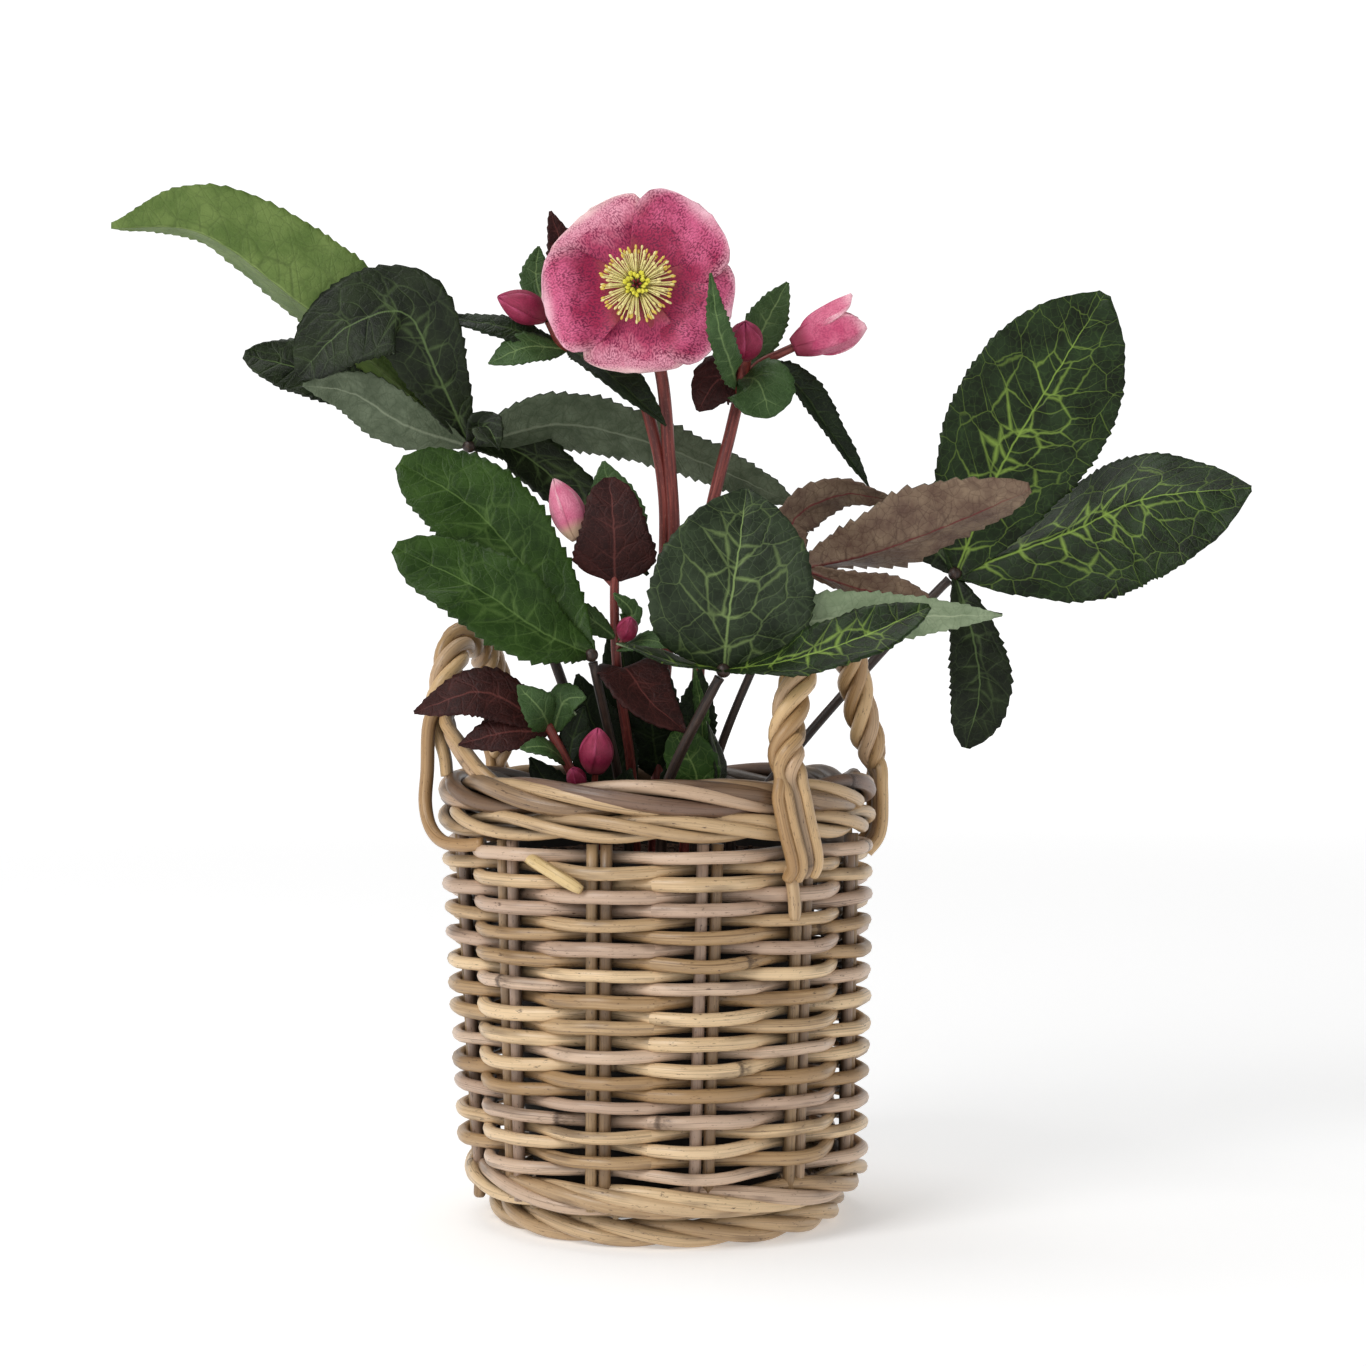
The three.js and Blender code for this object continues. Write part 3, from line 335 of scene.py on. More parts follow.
def rod(name, way, radius, material, sides, closed=False, tone=0.5, up=None, core=None, hidden=None):
    """A round rod along a way: a sheet is rolled round it, and its seam and its ends are closed. up keeps the seam
    of a level rod on one side. Where rods are laid round a core, what lies within the nearer of the two hidden
    distances from it is marked for full painted shade of the crevices, and less so out to the farther one."""
    way = np.asarray(way, float)
    rows = len(way) if closed else len(way) - 1
    sheet, u, v = new_sheet(name, sides, rows)
    row = np.rint(v * rows).astype(int) % len(way)
    if closed:
        ahead = unit(np.roll(way, -1, 0) - np.roll(way, 1, 0))
    else:
        ahead = unit(np.gradient(way, axis=0))
    if up is None:
        sides_of = [unit(np.cross(ahead[0], [0.31, 0.9, 0.29]))]
        for tangent in ahead[1:]:
            sides_of.append(unit(sides_of[-1] - tangent * np.dot(sides_of[-1], tangent)))
        aside = np.array(sides_of)
    else:
        aside = unit(np.cross(ahead, np.asarray(up, float)))
    above = np.cross(aside, ahead)
    girth = np.broadcast_to(np.asarray(radius, float), (len(way),))[row][:, None]
    angle = 2 * np.pi * u[:, None]
    places = way[row] + girth * (np.cos(angle) * aside[row] + np.sin(angle) * above[row])
    lay(sheet, places)
    reach = np.linalg.norm(np.diff(way, axis=0), axis=1).sum() / 100
    uvs = sheet.data.uv_layers[0].data
    flat = np.empty(2 * len(uvs))
    uvs.foreach_get("uv", flat)
    flat = flat.reshape(-1, 2) * [1, reach]
    uvs.foreach_set("uv", flat.ravel())
    sheet.data.attributes.new("tone", "FLOAT", "POINT").data.foreach_set("value", np.full(len(u), tone))
    # Marks how deep in the crevices of a rope each point lies, for the painted shade there.
    if core is not None:
        off = np.linalg.norm(places - np.asarray(core)[row], axis=1)
        crevice_shade = np.clip((hidden[1] - off) / (hidden[1] - hidden[0]), 0, 1)
        sheet.data.attributes.new("crevice_shade", "FLOAT", "POINT").data.foreach_set("value", crevice_shade)
    close_up(sheet, material)
    return sheet


def join(name, parts, node):
    """Makes one piece of several parts, which stands in for the plain solid of that node."""
    bpy.ops.object.select_all(action="DESELECT")
    for part in parts:
        part.select_set(True)
    bpy.context.view_layer.objects.active = parts[0]
    if len(parts) > 1:
        bpy.ops.object.join()
    piece = bpy.context.object
    piece.name = name
    bpy.ops.object.select_all(action="DESELECT")
    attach(piece, "root")
    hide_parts(node)
    return piece


def way_round(reach, turn, height):
    """A way round the basket's axis, through the places at these angles."""
    return np.stack([reach * np.cos(turn), reach * np.sin(turn), height + 0 * turn], 1)


def rope_round(name, circle, height, twist, radius, strands, turns, material, tones, rise=1.0, steps=160,
               shift=(0, 0, 0), drift=0.0):
    """Rods that run round the basket and twist about each other, evenly or with some drift. twist is how far each
    lies from the middle of the rope, and turns is how often it goes round it."""
    made = []
    t = np.arange(steps) / steps
    ring = 2 * np.pi * t
    for strand in range(strands):
        wind = 2 * np.pi * (turns * t + strand / strands) + drift * np.sin(2 * ring + 1.7 * strand)
        way = way_round(circle + twist * np.cos(wind), ring, height - twist * rise * np.sin(wind))
        girth = radius * (1 + 0.07 * np.sin(3 * ring + 2.1 * strand)) if drift else radius
        # Each strand gets painted shade where it lies close to the middle of the rope.
        made.append(rod(f"{name}_{strand}", way + shift, girth, material, closed=True, sides=12, up=(0, 0, 1),
                        tone=tones[strand], core=way_round(circle, ring, height) + shift,
                        hidden=(0.45 * twist, 1.2 * twist)))
    return made


weathered_cane = rattan("weathered_cane", "D8BB92", "A98A66", "4C3422")
foot_rods = rope_round("foot_rod", 68.5, 6.1, 3.2, 3.15, 3, 5, weathered_cane, (0.3, 0.55, 0.42), rise=0.9,
                       shift=(FOOT_SHIFT, 0, 0))
join("foot_rope", foot_rods, "foot_ring")


# ---------------------------------------------------------------- woven base
# The bottom of the basket: rings of thin split cane pass over and under twelve spokes of the same cane. Its
# rim is nailed to the foot ring under it, the pot stands on it, and it is only seen from below.
PAIRS = 12
PAIR_ANGLE = 360 / PAIRS
BASE_HEIGHT = 13.6
FIRST_RING = 7.5
RING_STEP = 3.35
inner_cane = rattan("inner_cane", "A88F6C", "7E684C", "453526")
base_rods = []
ring = 2 * np.pi * np.arange(96) / 96
for ring_number in range(21):
    lift = BASE_HEIGHT + (1 if ring_number % 2 else -1) * 0.55 * np.cos(PAIRS * ring)
    way = way_round(FIRST_RING + RING_STEP * ring_number, ring, lift) + [FOOT_SHIFT, 0, 0]
    base_rods.append(rod(f"base_cane_{ring_number}", way, 1.05 if ring_number else 1.0, inner_cane, closed=True,
                         sides=6, tone=0.3 + 0.4 * ((ring_number * 7) % 10) / 10, up=(0, 0, 1)))
for spoke in range(PAIRS):
    turn = math.radians(PAIR_ANGLE * (spoke + 0.5))
    way = [(FOOT_SHIFT + r * math.cos(turn), r * math.sin(turn), BASE_HEIGHT) for r in (0.5, 20, 40, 60, 76)]
    base_rods.append(rod(f"base_spoke_{spoke}", way, 1.5, inner_cane, sides=6, tone=0.35))
join("woven_base", base_rods, "base_disc")


# ---------------------------------------------------------------- woven wall
# Twelve pairs of upright stakes of rattan stand round the base, and in each row one rod is woven outside one
# pair and inside the next, over four thicker rods that are twisted round the foot and hold the stakes. The
# wall narrows downwards, and a few ends of rods stick out where a new rod was let in.
wall_draw = random.Random(4)
TWIST = math.radians(5)


def wall_place(places):
    """Narrows a straight wall towards its foot, which stands a little to the right and is turned by TWIST."""
    places = np.asarray(places, float)
    down = (1 - places[:, 2] / WALL_TOP)[:, None]
    turn = TWIST * down
    x, y = places[:, :1], places[:, 1:2]
    x, y = x * np.cos(turn) + y * np.sin(turn), y * np.cos(turn) - x * np.sin(turn)
    return np.hstack([x * (1 - TAPER * down) + FOOT_SHIFT * down, y * (1 - TAPER * down), places[:, 2:]])


# depth sets where painted shade darkens the weavers and stakes deep in the wall.
wall_cane = rattan("wall_cane", "E2C59C", "A6865F", "422C1C", grey="C6AC9C", depth=(76.0, 83.0))
stake_cane = rattan("stake_cane", "B0926C", "80664A", "3A2718", joint=0.5, depth=(80.5, 85.2))
# A row comes every ROW_STEP. A weaver runs on WEAVE_CIRCLE and swings in and out of it by SWING, and it sits a
# little high or low at each pair of stakes and half-way between them.
ROWS = 25
FIRST_ROW = 30.7
ROW_STEP = 5.2
SWING = 5.8
WEAVE_CIRCLE = 82.9
STAKE_CIRCLE = 83
STAKE_FOOT = 15.6
STAKE_LENGTH = 144.8
wall_rods = []
stations = np.arange(2 * PAIRS + 1) * 2 * np.pi / (2 * PAIRS) + math.radians(PAIR_ANGLE / 2)
ring = 2 * np.pi * np.arange(192) / 192
for row_number in range(ROWS):
    height = FIRST_ROW + ROW_STEP * row_number + wall_draw.uniform(-0.35, 0.35)
    slope = np.arcsin(np.cos(PAIRS / 2 * (ring - math.radians(PAIR_ANGLE / 2)))) * 2 / np.pi
    swing = SWING * np.clip(1.55 * slope, -1, 1) * (-1 if row_number % 2 else 1)
    jogs = [wall_draw.uniform(-1.1, 1.1) * (0.35 if station % 2 else 1.0) for station in range(2 * PAIRS)]
    lift = np.interp((ring - stations[0]) % (2 * np.pi), stations - stations[0], jogs + jogs[:1])
    reach = WEAVE_CIRCLE + swing
    way = np.stack([reach * np.sin(ring), -reach * np.cos(ring), height + lift], 1)
    way = (np.roll(way, 1, 0) + 2 * way + np.roll(way, -1, 0)) / 4
    girth = wall_draw.uniform(2.5, 2.95) * (1 + 0.06 * np.sin(3 * ring + wall_draw.uniform(0, 6.28)))
    wall_rods.append(rod(f"weaver_{row_number}", wall_place(way), girth, wall_cane, closed=True, sides=10,
                         up=(0, 0, 1), tone=wall_draw.random()))
for pair in range(PAIRS):
    turn = math.radians(PAIR_ANGLE * (pair + 0.5))
    for offset in (-2.9, 2.9):
        lean = wall_draw.uniform(-0.5, 0.5)
        x = offset * math.cos(turn) + STAKE_CIRCLE * math.sin(turn)
        y = offset * math.sin(turn) - STAKE_CIRCLE * math.cos(turn)
        way = [(x + lean * s * math.cos(turn), y + lean * s * math.sin(turn), STAKE_FOOT + STAKE_LENGTH * (s + 1) / 2)
               for s in np.linspace(-1, 1, 9)]
        wall_rods.append(rod(f"stake_{pair}", wall_place(way), 2.5, stake_cane, sides=10,
                             tone=wall_draw.uniform(0.1, 0.8)))
for foot_rod in rope_round("foot_wale", STAKE_CIRCLE, 20.0, 3.7, 2.95, 4, 4, weathered_cane, (0.5, 0.22, 0.66, 0.9),
                           drift=0.4):
    wall_rods.append(foot_rod)
    lay(foot_rod, wall_place((points_of(foot_rod) - AXIS) * 1000))
# Three ends of rods stick out: a fresh pale one high on the left, one under a handle's foot and one at the foot.
pale_cane = rattan("pale_cane", "E4CB98", "CDB07A", "8A6C42", grey="DCC498", joint=0.0)
for stub_cane, stub_way in (
    (pale_cane, [(-52, -60, 155), (-47, -74, 153), (-39, -82.4, 149), (-28.5, -87, 143)]),
    (weathered_cane, [(52.5, -71, 151), (53.5, -73.6, 146), (54.5, -74.4, 138), (54.8, -74, 130)]),
    (stake_cane, [(-71.5, -20, 24), (-72.8, -20, 16), (-73.2, -20, 10)]),
):
    stub_girth = 2.6 * np.array([1.0] * 15 + [0.97, 0.88, 0.66])
    wall_rods.append(rod("rod_end", smooth_way(stub_way, 18), stub_girth, stub_cane, sides=12, tone=0.3))
join("basket_weave", wall_rods, "woven_wall")


# ---------------------------------------------------------------- rim
# The top edge, of the same rattan: the ends of the stakes are bent over and rolled into a thick border of five
# rods, most of them darker. Under it three paler rods are twisted round the stakes and lock them.
# depth sets where painted shade darkens the rim's rods on their side towards the basket's axis.
old_cane = rattan("old_cane", "A08464", "6C523C", "32211A", grey="7A6055", depth=(75.0, 86.0))
rim_cane = rattan("rim_cane", "C6A880", "9A7A58", "4A3222", grey="B89C88", depth=(78.0, 86.0))
BORDER_CIRCLE = 84.2
BORDER_HEIGHT = 178.2
BORDER_TWIST = 4.5
rim_rods = []
turn = 2 * np.pi * np.arange(200) / 200
core = way_round(BORDER_CIRCLE, turn, BORDER_HEIGHT)
for number, (cane, girth, tone) in enumerate((
    (old_cane, 3.3, 0.24), (rim_cane, 2.7, 0.62), (old_cane, 3.4, 0.45), (old_cane, 3.1, 0.08), (rim_cane, 2.8, 0.8),
)):
    wind = 4 * turn + (2 * np.pi * number / 5 + 0.5) + 0.5 * np.sin(2 * turn + 1.9 * number)
    way = way_round(BORDER_CIRCLE + BORDER_TWIST * np.cos(wind), turn, BORDER_HEIGHT - BORDER_TWIST * np.sin(wind))
    thick = girth * (1 + 0.06 * np.sin(4 * turn + 2.1 * number))
    # Each border rod gets painted shade where it lies close to the middle of the border.
    rim_rods.append(rod(f"border_rod_{number}", way, thick, cane, closed=True, sides=12, up=(0, 0, 1), tone=tone,
                        core=core, hidden=(2.2, 5.2)))
rim_rods += rope_round("wale_rod", 86.0, 166.6, 3.3, 2.65, 3, 5, rim_cane, (0.9, 0.55, 0.73), steps=180, drift=0.3)
join("rolled_rim", rim_rods, "rim_border")


# ---------------------------------------------------------------- handles
# Each handle is an arch of four golden rods of rattan, laid round each other like a rope. Its feet open into
# a flat band that runs down outside the rim and is tucked into the weave.
golden_cane = rattan("golden_cane", "CEAC7E", "A07C52", "4E341E", grey="B89A7E", joint=0.6)
STRANDS = 4
ROPE_STEPS = 120
ROPE_TWIST = 4.5
ROPE_TURNS = 6.5
# The rope opens into the band over a height of BAND_BLEND below BAND_TOP, its strands BAND_PITCH apart. A strand
# with a way of its own leaves the rope at TUCK_TOP.
BAND_PITCH = 4.1
BAND_TOP = 198
BAND_BLEND = 20
TUCK_TOP = 205
TUCK_STEPS = 40


def handle(name, points, node, tucks):
    """points are angles from the front, reaches and heights. tucks are the ways in which single strands leave the
    band at the first foot, from its outermost one on."""
    turned = [(math.radians(angle), reach, height) for angle, reach, height in points]
    core = smooth_way([(r * math.sin(a), -r * math.cos(a), z) for a, r, z in turned], ROPE_STEPS)
    ahead = unit(np.gradient(core, axis=0))
    outward = unit(core * [1, 1, 0])
    outward = unit(outward - ahead * (outward * ahead).sum(1, keepdims=True))
    sideways = np.cross(ahead, outward)
    foot = np.clip((BAND_TOP - core[:, 2]) / BAND_BLEND, 0, 1)[:, None]
    foot = foot * foot * (3 - 2 * foot)
    t = np.linspace(0, 1, ROPE_STEPS)[:, None]
    strands = []
    for strand in range(STRANDS):
        wind = 2 * np.pi * (ROPE_TURNS * t + strand / STRANDS)
        twisted = ROPE_TWIST * (np.cos(wind) * outward + np.sin(wind) * sideways)
        beside = BAND_PITCH * (strand - 1.5) * sideways + (0.6 if strand % 2 else -0.4) * outward
        way = core + twisted * (1 - foot) + beside * foot
        girth = (2.95 * (1 - foot) + 2.5 * foot)[:, 0]
        # The line from which the painted shade of the crevices between the strands is measured.
        middle = core - 1.5 * foot * outward
        if strand in tucks:
            start = int(np.argmax(core[:, 2] > TUCK_TOP))
            tuck = smooth_way([*tucks[strand], way[start], way[start + 3]], TUCK_STEPS)
            way = np.vstack([tuck, way[start + 4:]])
            girth = np.concatenate([np.linspace(2.7, 2.95, TUCK_STEPS), girth[start + 4:]])
            middle = np.vstack([tuck * [0.965, 0.965, 1], core[start + 4:]])
        strands.append(rod(f"{name}_{strand}", way, girth, golden_cane, sides=12, tone=0.2 + 0.23 * strand,
                           core=middle, hidden=(2.0, 5.2)))
    join(name, strands, node)


handle("right_rope", [
    (38.5, 91.5, 147), (38, 95.2, 152), (34.5, 96.8, 170), (32.8, 95.6, 187), (34, 92, 202), (39, 88, 222),
    (53, 81, 240), (69, 77, 246), (84, 79, 240), (94, 83, 225), (99, 89, 204), (102, 95, 188), (103, 96.6, 172),
    (103, 95.4, 158), (103.5, 90, 151)], "right_handle", {})
handle("left_rope", [
    (-75, 90, 150), (-75.5, 95, 157), (-76, 96.6, 172), (-77, 95, 189), (-78, 92, 204), (-81, 88, 224),
    (-90, 84, 239), (-103, 80, 240), (-117, 82, 230), (-126, 86, 212), (-130, 93, 191), (-132, 96.4, 172),
    (-132, 95.4, 158), (-132, 90, 151)], "left_handle", {
        0: [(-69, -52, 158.5), (-78, -47, 157.5), (-87, -37, 158.5), (-92.6, -29, 164), (-95, -24, 173),
            (-94.5, -21, 186)],
        1: [(-64, -50, 182), (-71, -45, 188), (-80, -33, 198)],
        2: [(-71, -40, 184), (-77, -34, 190), (-84, -25, 200)],
        3: [(-86.5, -19, 184), (-87.5, -18, 192)],
    })


# ---------------------------------------------------------------- nursery pot
# The grower's pot that the plant came in: thin dark plastic, moulded in one go with a turned-out lip, and dusty
# where water ran down it. It stands loose on the woven base, inside the wall.
pot_profile = [(51, 15.5), (54, 35), (57, 55), (57.6, 57), (62, 90), (65, 118), (68.5, 148.6), (71.4, 148.9),
               (71.5, 152.6), (70.8, 153), (67.2, 153), (67, 148), (62, 100), (55.5, 50), (49.6, 17.4)]
bottom_reach, bottom_height = pot_profile[0]
bpy.ops.object.select_all(action="DESELECT")
bpy.ops.mesh.primitive_circle_add(vertices=72, radius=bottom_reach / 1000, fill_type="NGON",
                                  location=(0, 0, bottom_height / 1000))
pot = bpy.context.object
bpy.ops.object.transform_apply(location=True)
bpy.ops.object.mode_set(mode="EDIT")
bpy.ops.mesh.select_all(action="SELECT")
for (reach, height), (next_reach, next_height) in zip(pot_profile, pot_profile[1:]):
    bpy.ops.mesh.extrude_region_move(TRANSFORM_OT_translate={"value": (0, 0, (next_height - height) / 1000)})
    bpy.ops.transform.resize(value=(next_reach / reach, next_reach / reach, 1), center_override=(0, 0, 0))
bpy.ops.mesh.select_all(action="SELECT")
bpy.ops.mesh.normals_make_consistent(inside=False)
bpy.ops.object.mode_set(mode="OBJECT")
for vertex in pot.data.vertices:
    vertex.co.x += AXIS[0]
    vertex.co.y += AXIS[1]
bpy.ops.object.shade_smooth_by_angle(angle=0.6)
pot_plastic = Finish("pot_plastic", roughness=0.5, specular=0.4)
pot_where = pot_plastic.places()
pot_dust = pot_plastic.noise(pot_where, 45.0, 6.0, 0.65)
pot_plastic.colour(pot_plastic.mix(pot_plastic.ramp(pot_dust, 0.45, 0.75), "120F0D", "2E2721"))
pot_plastic.relief(pot_plastic.noise(pot_where, 600.0, 2.0), 0.0002, 0.4)
pot.data.materials.append(pot_plastic.material)
join("pot_shell", [pot], "nursery_pot")


# ---------------------------------------------------------------- soil
# Dark moist compost fills the pot to just below its lip. It is peat, pressed down by hand round the stems into
# a rough bed, with crumbs of bark and peat lying loose on it.
SOIL_TOP = 149.6
SOIL_REACH = 65.8
CRUMBS = 260
soil_draw = random.Random(11)
soil_finish = Finish("compost", roughness=0.95, specular=0.15)
soil_where = soil_finish.places()
soil_fine = soil_finish.noise(soil_where, 420.0, 6.0, 0.7)
soil_finish.colour(soil_finish.mix(soil_finish.ramp(soil_fine, 0.4, 0.7), "1E140E", "4B3425"))
soil_finish.relief(soil_fine, 0.0012, 0.8)
bed, u, v = new_sheet("soil_bed", 72, 30)
bed_turn = 2 * np.pi * u
bed_reach = np.interp(v, [0, 0.7, 0.8, 1.0], [0.3, SOIL_REACH, 66.0, 48.9])
bed_height = np.interp(v, [0, 0.7, 0.8, 1.0], [SOIL_TOP, SOIL_TOP, 146, 17.8])
rough = 0.9 * np.sin(0.9 * bed_reach * np.cos(bed_turn)) * np.cos(0.8 * bed_reach * np.sin(bed_turn))
lay(bed, way_round(bed_reach, bed_turn, bed_height + np.where(v < 0.65, rough, 0)))
close_up(bed, soil_finish.material)
soil_parts = [bed]
for _ in range(CRUMBS):
    bpy.ops.object.select_all(action="DESELECT")
    turn, reach = soil_draw.uniform(0, 6.28), 63 * soil_draw.random() ** 0.5
    place = at((reach * math.cos(turn), reach * math.sin(turn), SOIL_TOP + 0.3))
    bpy.ops.mesh.primitive_ico_sphere_add(subdivisions=1, radius=soil_draw.uniform(0.001, 0.0024), location=place)
    crumb = bpy.context.object
    crumb.scale = (soil_draw.uniform(0.7, 1.4), soil_draw.uniform(0.7, 1.4), soil_draw.uniform(0.35, 0.7))
    crumb.rotation_euler = (0, 0, soil_draw.uniform(0, 3))
    bpy.ops.object.transform_apply()
    crumb.data.materials.append(soil_finish.material)
    soil_parts.append(crumb)
join("compost_bed", soil_parts, "soil")


# ---------------------------------------------------------------- left upper leaf
# A hellebore leaf has several leathery leaflets on one stalk, which rises from the soil. The edge of each is
# cut into fine teeth, side veins run forward from the midrib, and the upper face is dark with a pale net along
# the veins.

# The millimetres from one side vein to the next, how far a vein runs forward for each one that it runs out, and
# the half width of the trough that it lies in.
VEIN_STEP = 11.0
VEIN_RISE = 0.7
VEIN_WIDTH = 1.3


def leaf_skin(name, base, patch, vein, marbling, net, side, midrib=0.9, roughness=0.42, pale_rib=None, thread=None,
              cell=7.8):
    """vein is the colour of the marbling that branches from the midrib, thread that of the fine net. marbling, net,
    side and midrib are how strongly the net of broad veins, that of fine ones, the side veins and the rib show."""
    finish = Finish(name, roughness=roughness, specular=0.17)
    across, along = finish.span()
    share, t = finish.span("Span")
    off = finish.sums("ABSOLUTE", across)
    flat = finish.vector(across, along)
    # Side veins: how far each point is from the nearest one, as a share of the step between them.
    sway = finish.sums("SINE", finish.sums("ADD", finish.times(across, 35.0), finish.times(along, 22.0)))
    forward = finish.sums("SUBTRACT", along, finish.times(off, VEIN_RISE))
    forward = finish.sums("SUBTRACT", forward, finish.times(off, off))
    forward = finish.sums("MULTIPLY_ADD", sway, 0.012, forward)
    beat = finish.sums("FRACT", finish.sums("MULTIPLY_ADD", forward, 100 / VEIN_STEP, 0.5))
    beat = finish.sums("ABSOLUTE", finish.sums("SUBTRACT", beat, 0.5))
    near = finish.ramp(finish.sums("ABSOLUTE", share), 0.95, 0.1)
    broken = finish.ramp(finish.noise(flat, 7.0, 2.0), 0.35, 0.62, 0.3, 1.0)
    ripple = finish.noise(flat, 16.0, 2.0)
    # Two nets with an uneven mesh: a broad one for the marbling and a fine one for the threads.
    bent = finish.add("ShaderNodeVectorMath", {0: flat, 1: finish.scaled(ripple, 0.035, ripple, -0.03)},
                      operation="ADD").outputs[0]
    drift = finish.sums("MULTIPLY_ADD", ripple, -0.03, along)
    drawn = finish.vector(finish.times(finish.sums("MULTIPLY_ADD", ripple, 0.03, across), 0.95),
                          finish.sums("MULTIPLY_ADD", off, -0.45, drift))
    broad = finish.cells(drawn, cell)
    fine = finish.cells(bent, 3.3 * cell)
    # The veins get finer from the midrib to the edge and from the foot of the blade to its tip.
    strong = finish.times(finish.times(near, broken), finish.ramp(t, 0.95, 0.5, 0.15, 1.0))
    branches = finish.ramp(beat, finish.sums("MULTIPLY_ADD", strong, 0.06, 0.014), 0.004, shape="LINEAR")
    branches = finish.times(branches, finish.sums("MULTIPLY_ADD", near, 0.8, 0.12))
    marble = finish.ramp(broad, finish.sums("MULTIPLY_ADD", strong, 0.066, 0.016), 0.004, shape="LINEAR")
    marble = finish.times(marble, finish.sums("MULTIPLY_ADD", strong, 0.65, 0.28))
    threads = finish.ramp(fine, 0.06, 0.012, 0.0, net)
    from_rib = finish.sums("MULTIPLY_ADD", finish.sums("SUBTRACT", ripple, 0.5), 0.016, across)
    rib = finish.ramp(finish.sums("ABSOLUTE", from_rib), finish.sums("MULTIPLY_ADD", t, -0.0076, 0.0098), 0.0015,
                      0.0, midrib, shape="LINEAR")
    rib = finish.times(rib, finish.ramp(t, 0.98, 0.8, 0.25, 1.0))
    clouds = finish.noise(flat, 7.0, 4.0, 0.6)
    mottle = finish.noise(flat, 70.0, 4.0, 0.7)
    # The coats, from the lowest up: clouds and mottles of green, threads, side veins, marbling and the rib.
    body = finish.mix(finish.ramp(clouds, 0.3, 0.7), base, patch)
    body = finish.mix(finish.ramp(mottle, 0.5, 0.8, 0.0, 0.45), body, patch)
    body = finish.mix(finish.ramp(mottle, 0.5, 0.25, 0.0, 0.4), body, base)
    body = finish.mix(threads, body, thread or vein)
    body = finish.mix(finish.times(branches, side), body, vein)
    body = finish.mix(finish.times(marble, marbling), body, vein)
    body = finish.mix(rib, body, pale_rib or vein)
    finish.colour(body)
    sunk = finish.sums("MAXIMUM", finish.ramp(broad, 0.09, 0.0), finish.ramp(beat, 0.09, 0.0))
    sunk = finish.sums("MAXIMUM", sunk, finish.ramp(fine, 0.1, 0.0, 0.0, 0.5))
    grain = finish.times(finish.noise(flat, 130.0), 0.5)
    finish.relief(finish.sums("SUBTRACT", grain, finish.times(sunk, 0.4)), 0.0005, 0.7)
    return finish.material


# Half width of a blade, as a share of the widest, at shares of its length from base to tip.
OUTLINES = {
    "broad": ((0, 0.08), (0.1, 0.42), (0.24, 0.74), (0.4, 0.95), (0.56, 1), (0.7, 0.96), (0.8, 0.82), (0.9, 0.56),
              (0.97, 0.24), (1, 0.04)),
    "oval": ((0, 0.1), (0.05, 0.45), (0.12, 0.72), (0.25, 0.93), (0.4, 1), (0.55, 0.95), (0.7, 0.8), (0.82, 0.6),
             (0.92, 0.36), (1, 0.04)),
    "lance": ((0, 0.08), (0.12, 0.5), (0.3, 0.88), (0.45, 1), (0.6, 0.92), (0.75, 0.68), (0.88, 0.38), (0.96, 0.15),
              (1, 0.04)),
    "blunt": ((0, 0.08), (0.12, 0.42), (0.3, 0.78), (0.5, 0.98), (0.65, 1), (0.78, 0.9), (0.88, 0.7), (0.95, 0.45),
              (1, 0.1)),
    "heart": ((0, 0.12), (0.08, 0.7), (0.2, 1), (0.35, 0.97), (0.5, 0.82), (0.65, 0.7), (0.8, 0.6), (0.92, 0.42),
              (1, 0.12)),
    "sepal": ((0, 0.25), (0.1, 0.4), (0.25, 0.64), (0.45, 0.91), (0.6, 1), (0.74, 0.97), (0.85, 0.83), (0.93, 0.6),
              (1, 0.12)),
}


def half_width(outline, t):
    """The width at shares of the length, with the corners between the given ones rounded off."""
    dense = np.linspace(0, 1, 201)
    shares, widths = np.array(OUTLINES[outline]).T
    kernel = np.hanning(15)[1:-1]
    padded = np.pad(np.interp(dense, shares, widths), 6, mode="edge")
    return np.interp(t, dense, np.convolve(padded, kernel / kernel.sum(), mode="valid"))


def map_sheet(sheet, across_mm, along_mm, share, t):
    """Two maps of a sheet: each point's place on it, a unit to 100 mm, and that place as shares of the sheet."""
    corners = np.empty(len(sheet.data.loops), int)
    sheet.data.loops.foreach_get("vertex_index", corners)
    sheet.data.uv_layers[0].name = "UVMap"
    sheet.data.uv_layers.new(name="Span")
    for layer, place in (("UVMap", (across_mm / 100, along_mm / 100)), ("Span", (share, t))):
        sheet.data.uv_layers[layer].data.foreach_set("uv", np.stack(place, 1)[corners].ravel())


def thicken(sheet, thick, offset=0, other_side=0):
    bpy.ops.object.modifier_add(type="SOLIDIFY")
    shell = sheet.modifiers[-1]
    shell.thickness = thick / 1000
    shell.offset = offset
    shell.material_offset = other_side
    bpy.ops.object.modifier_apply(modifier=shell.name)
    sheet.data.shade_smooth()


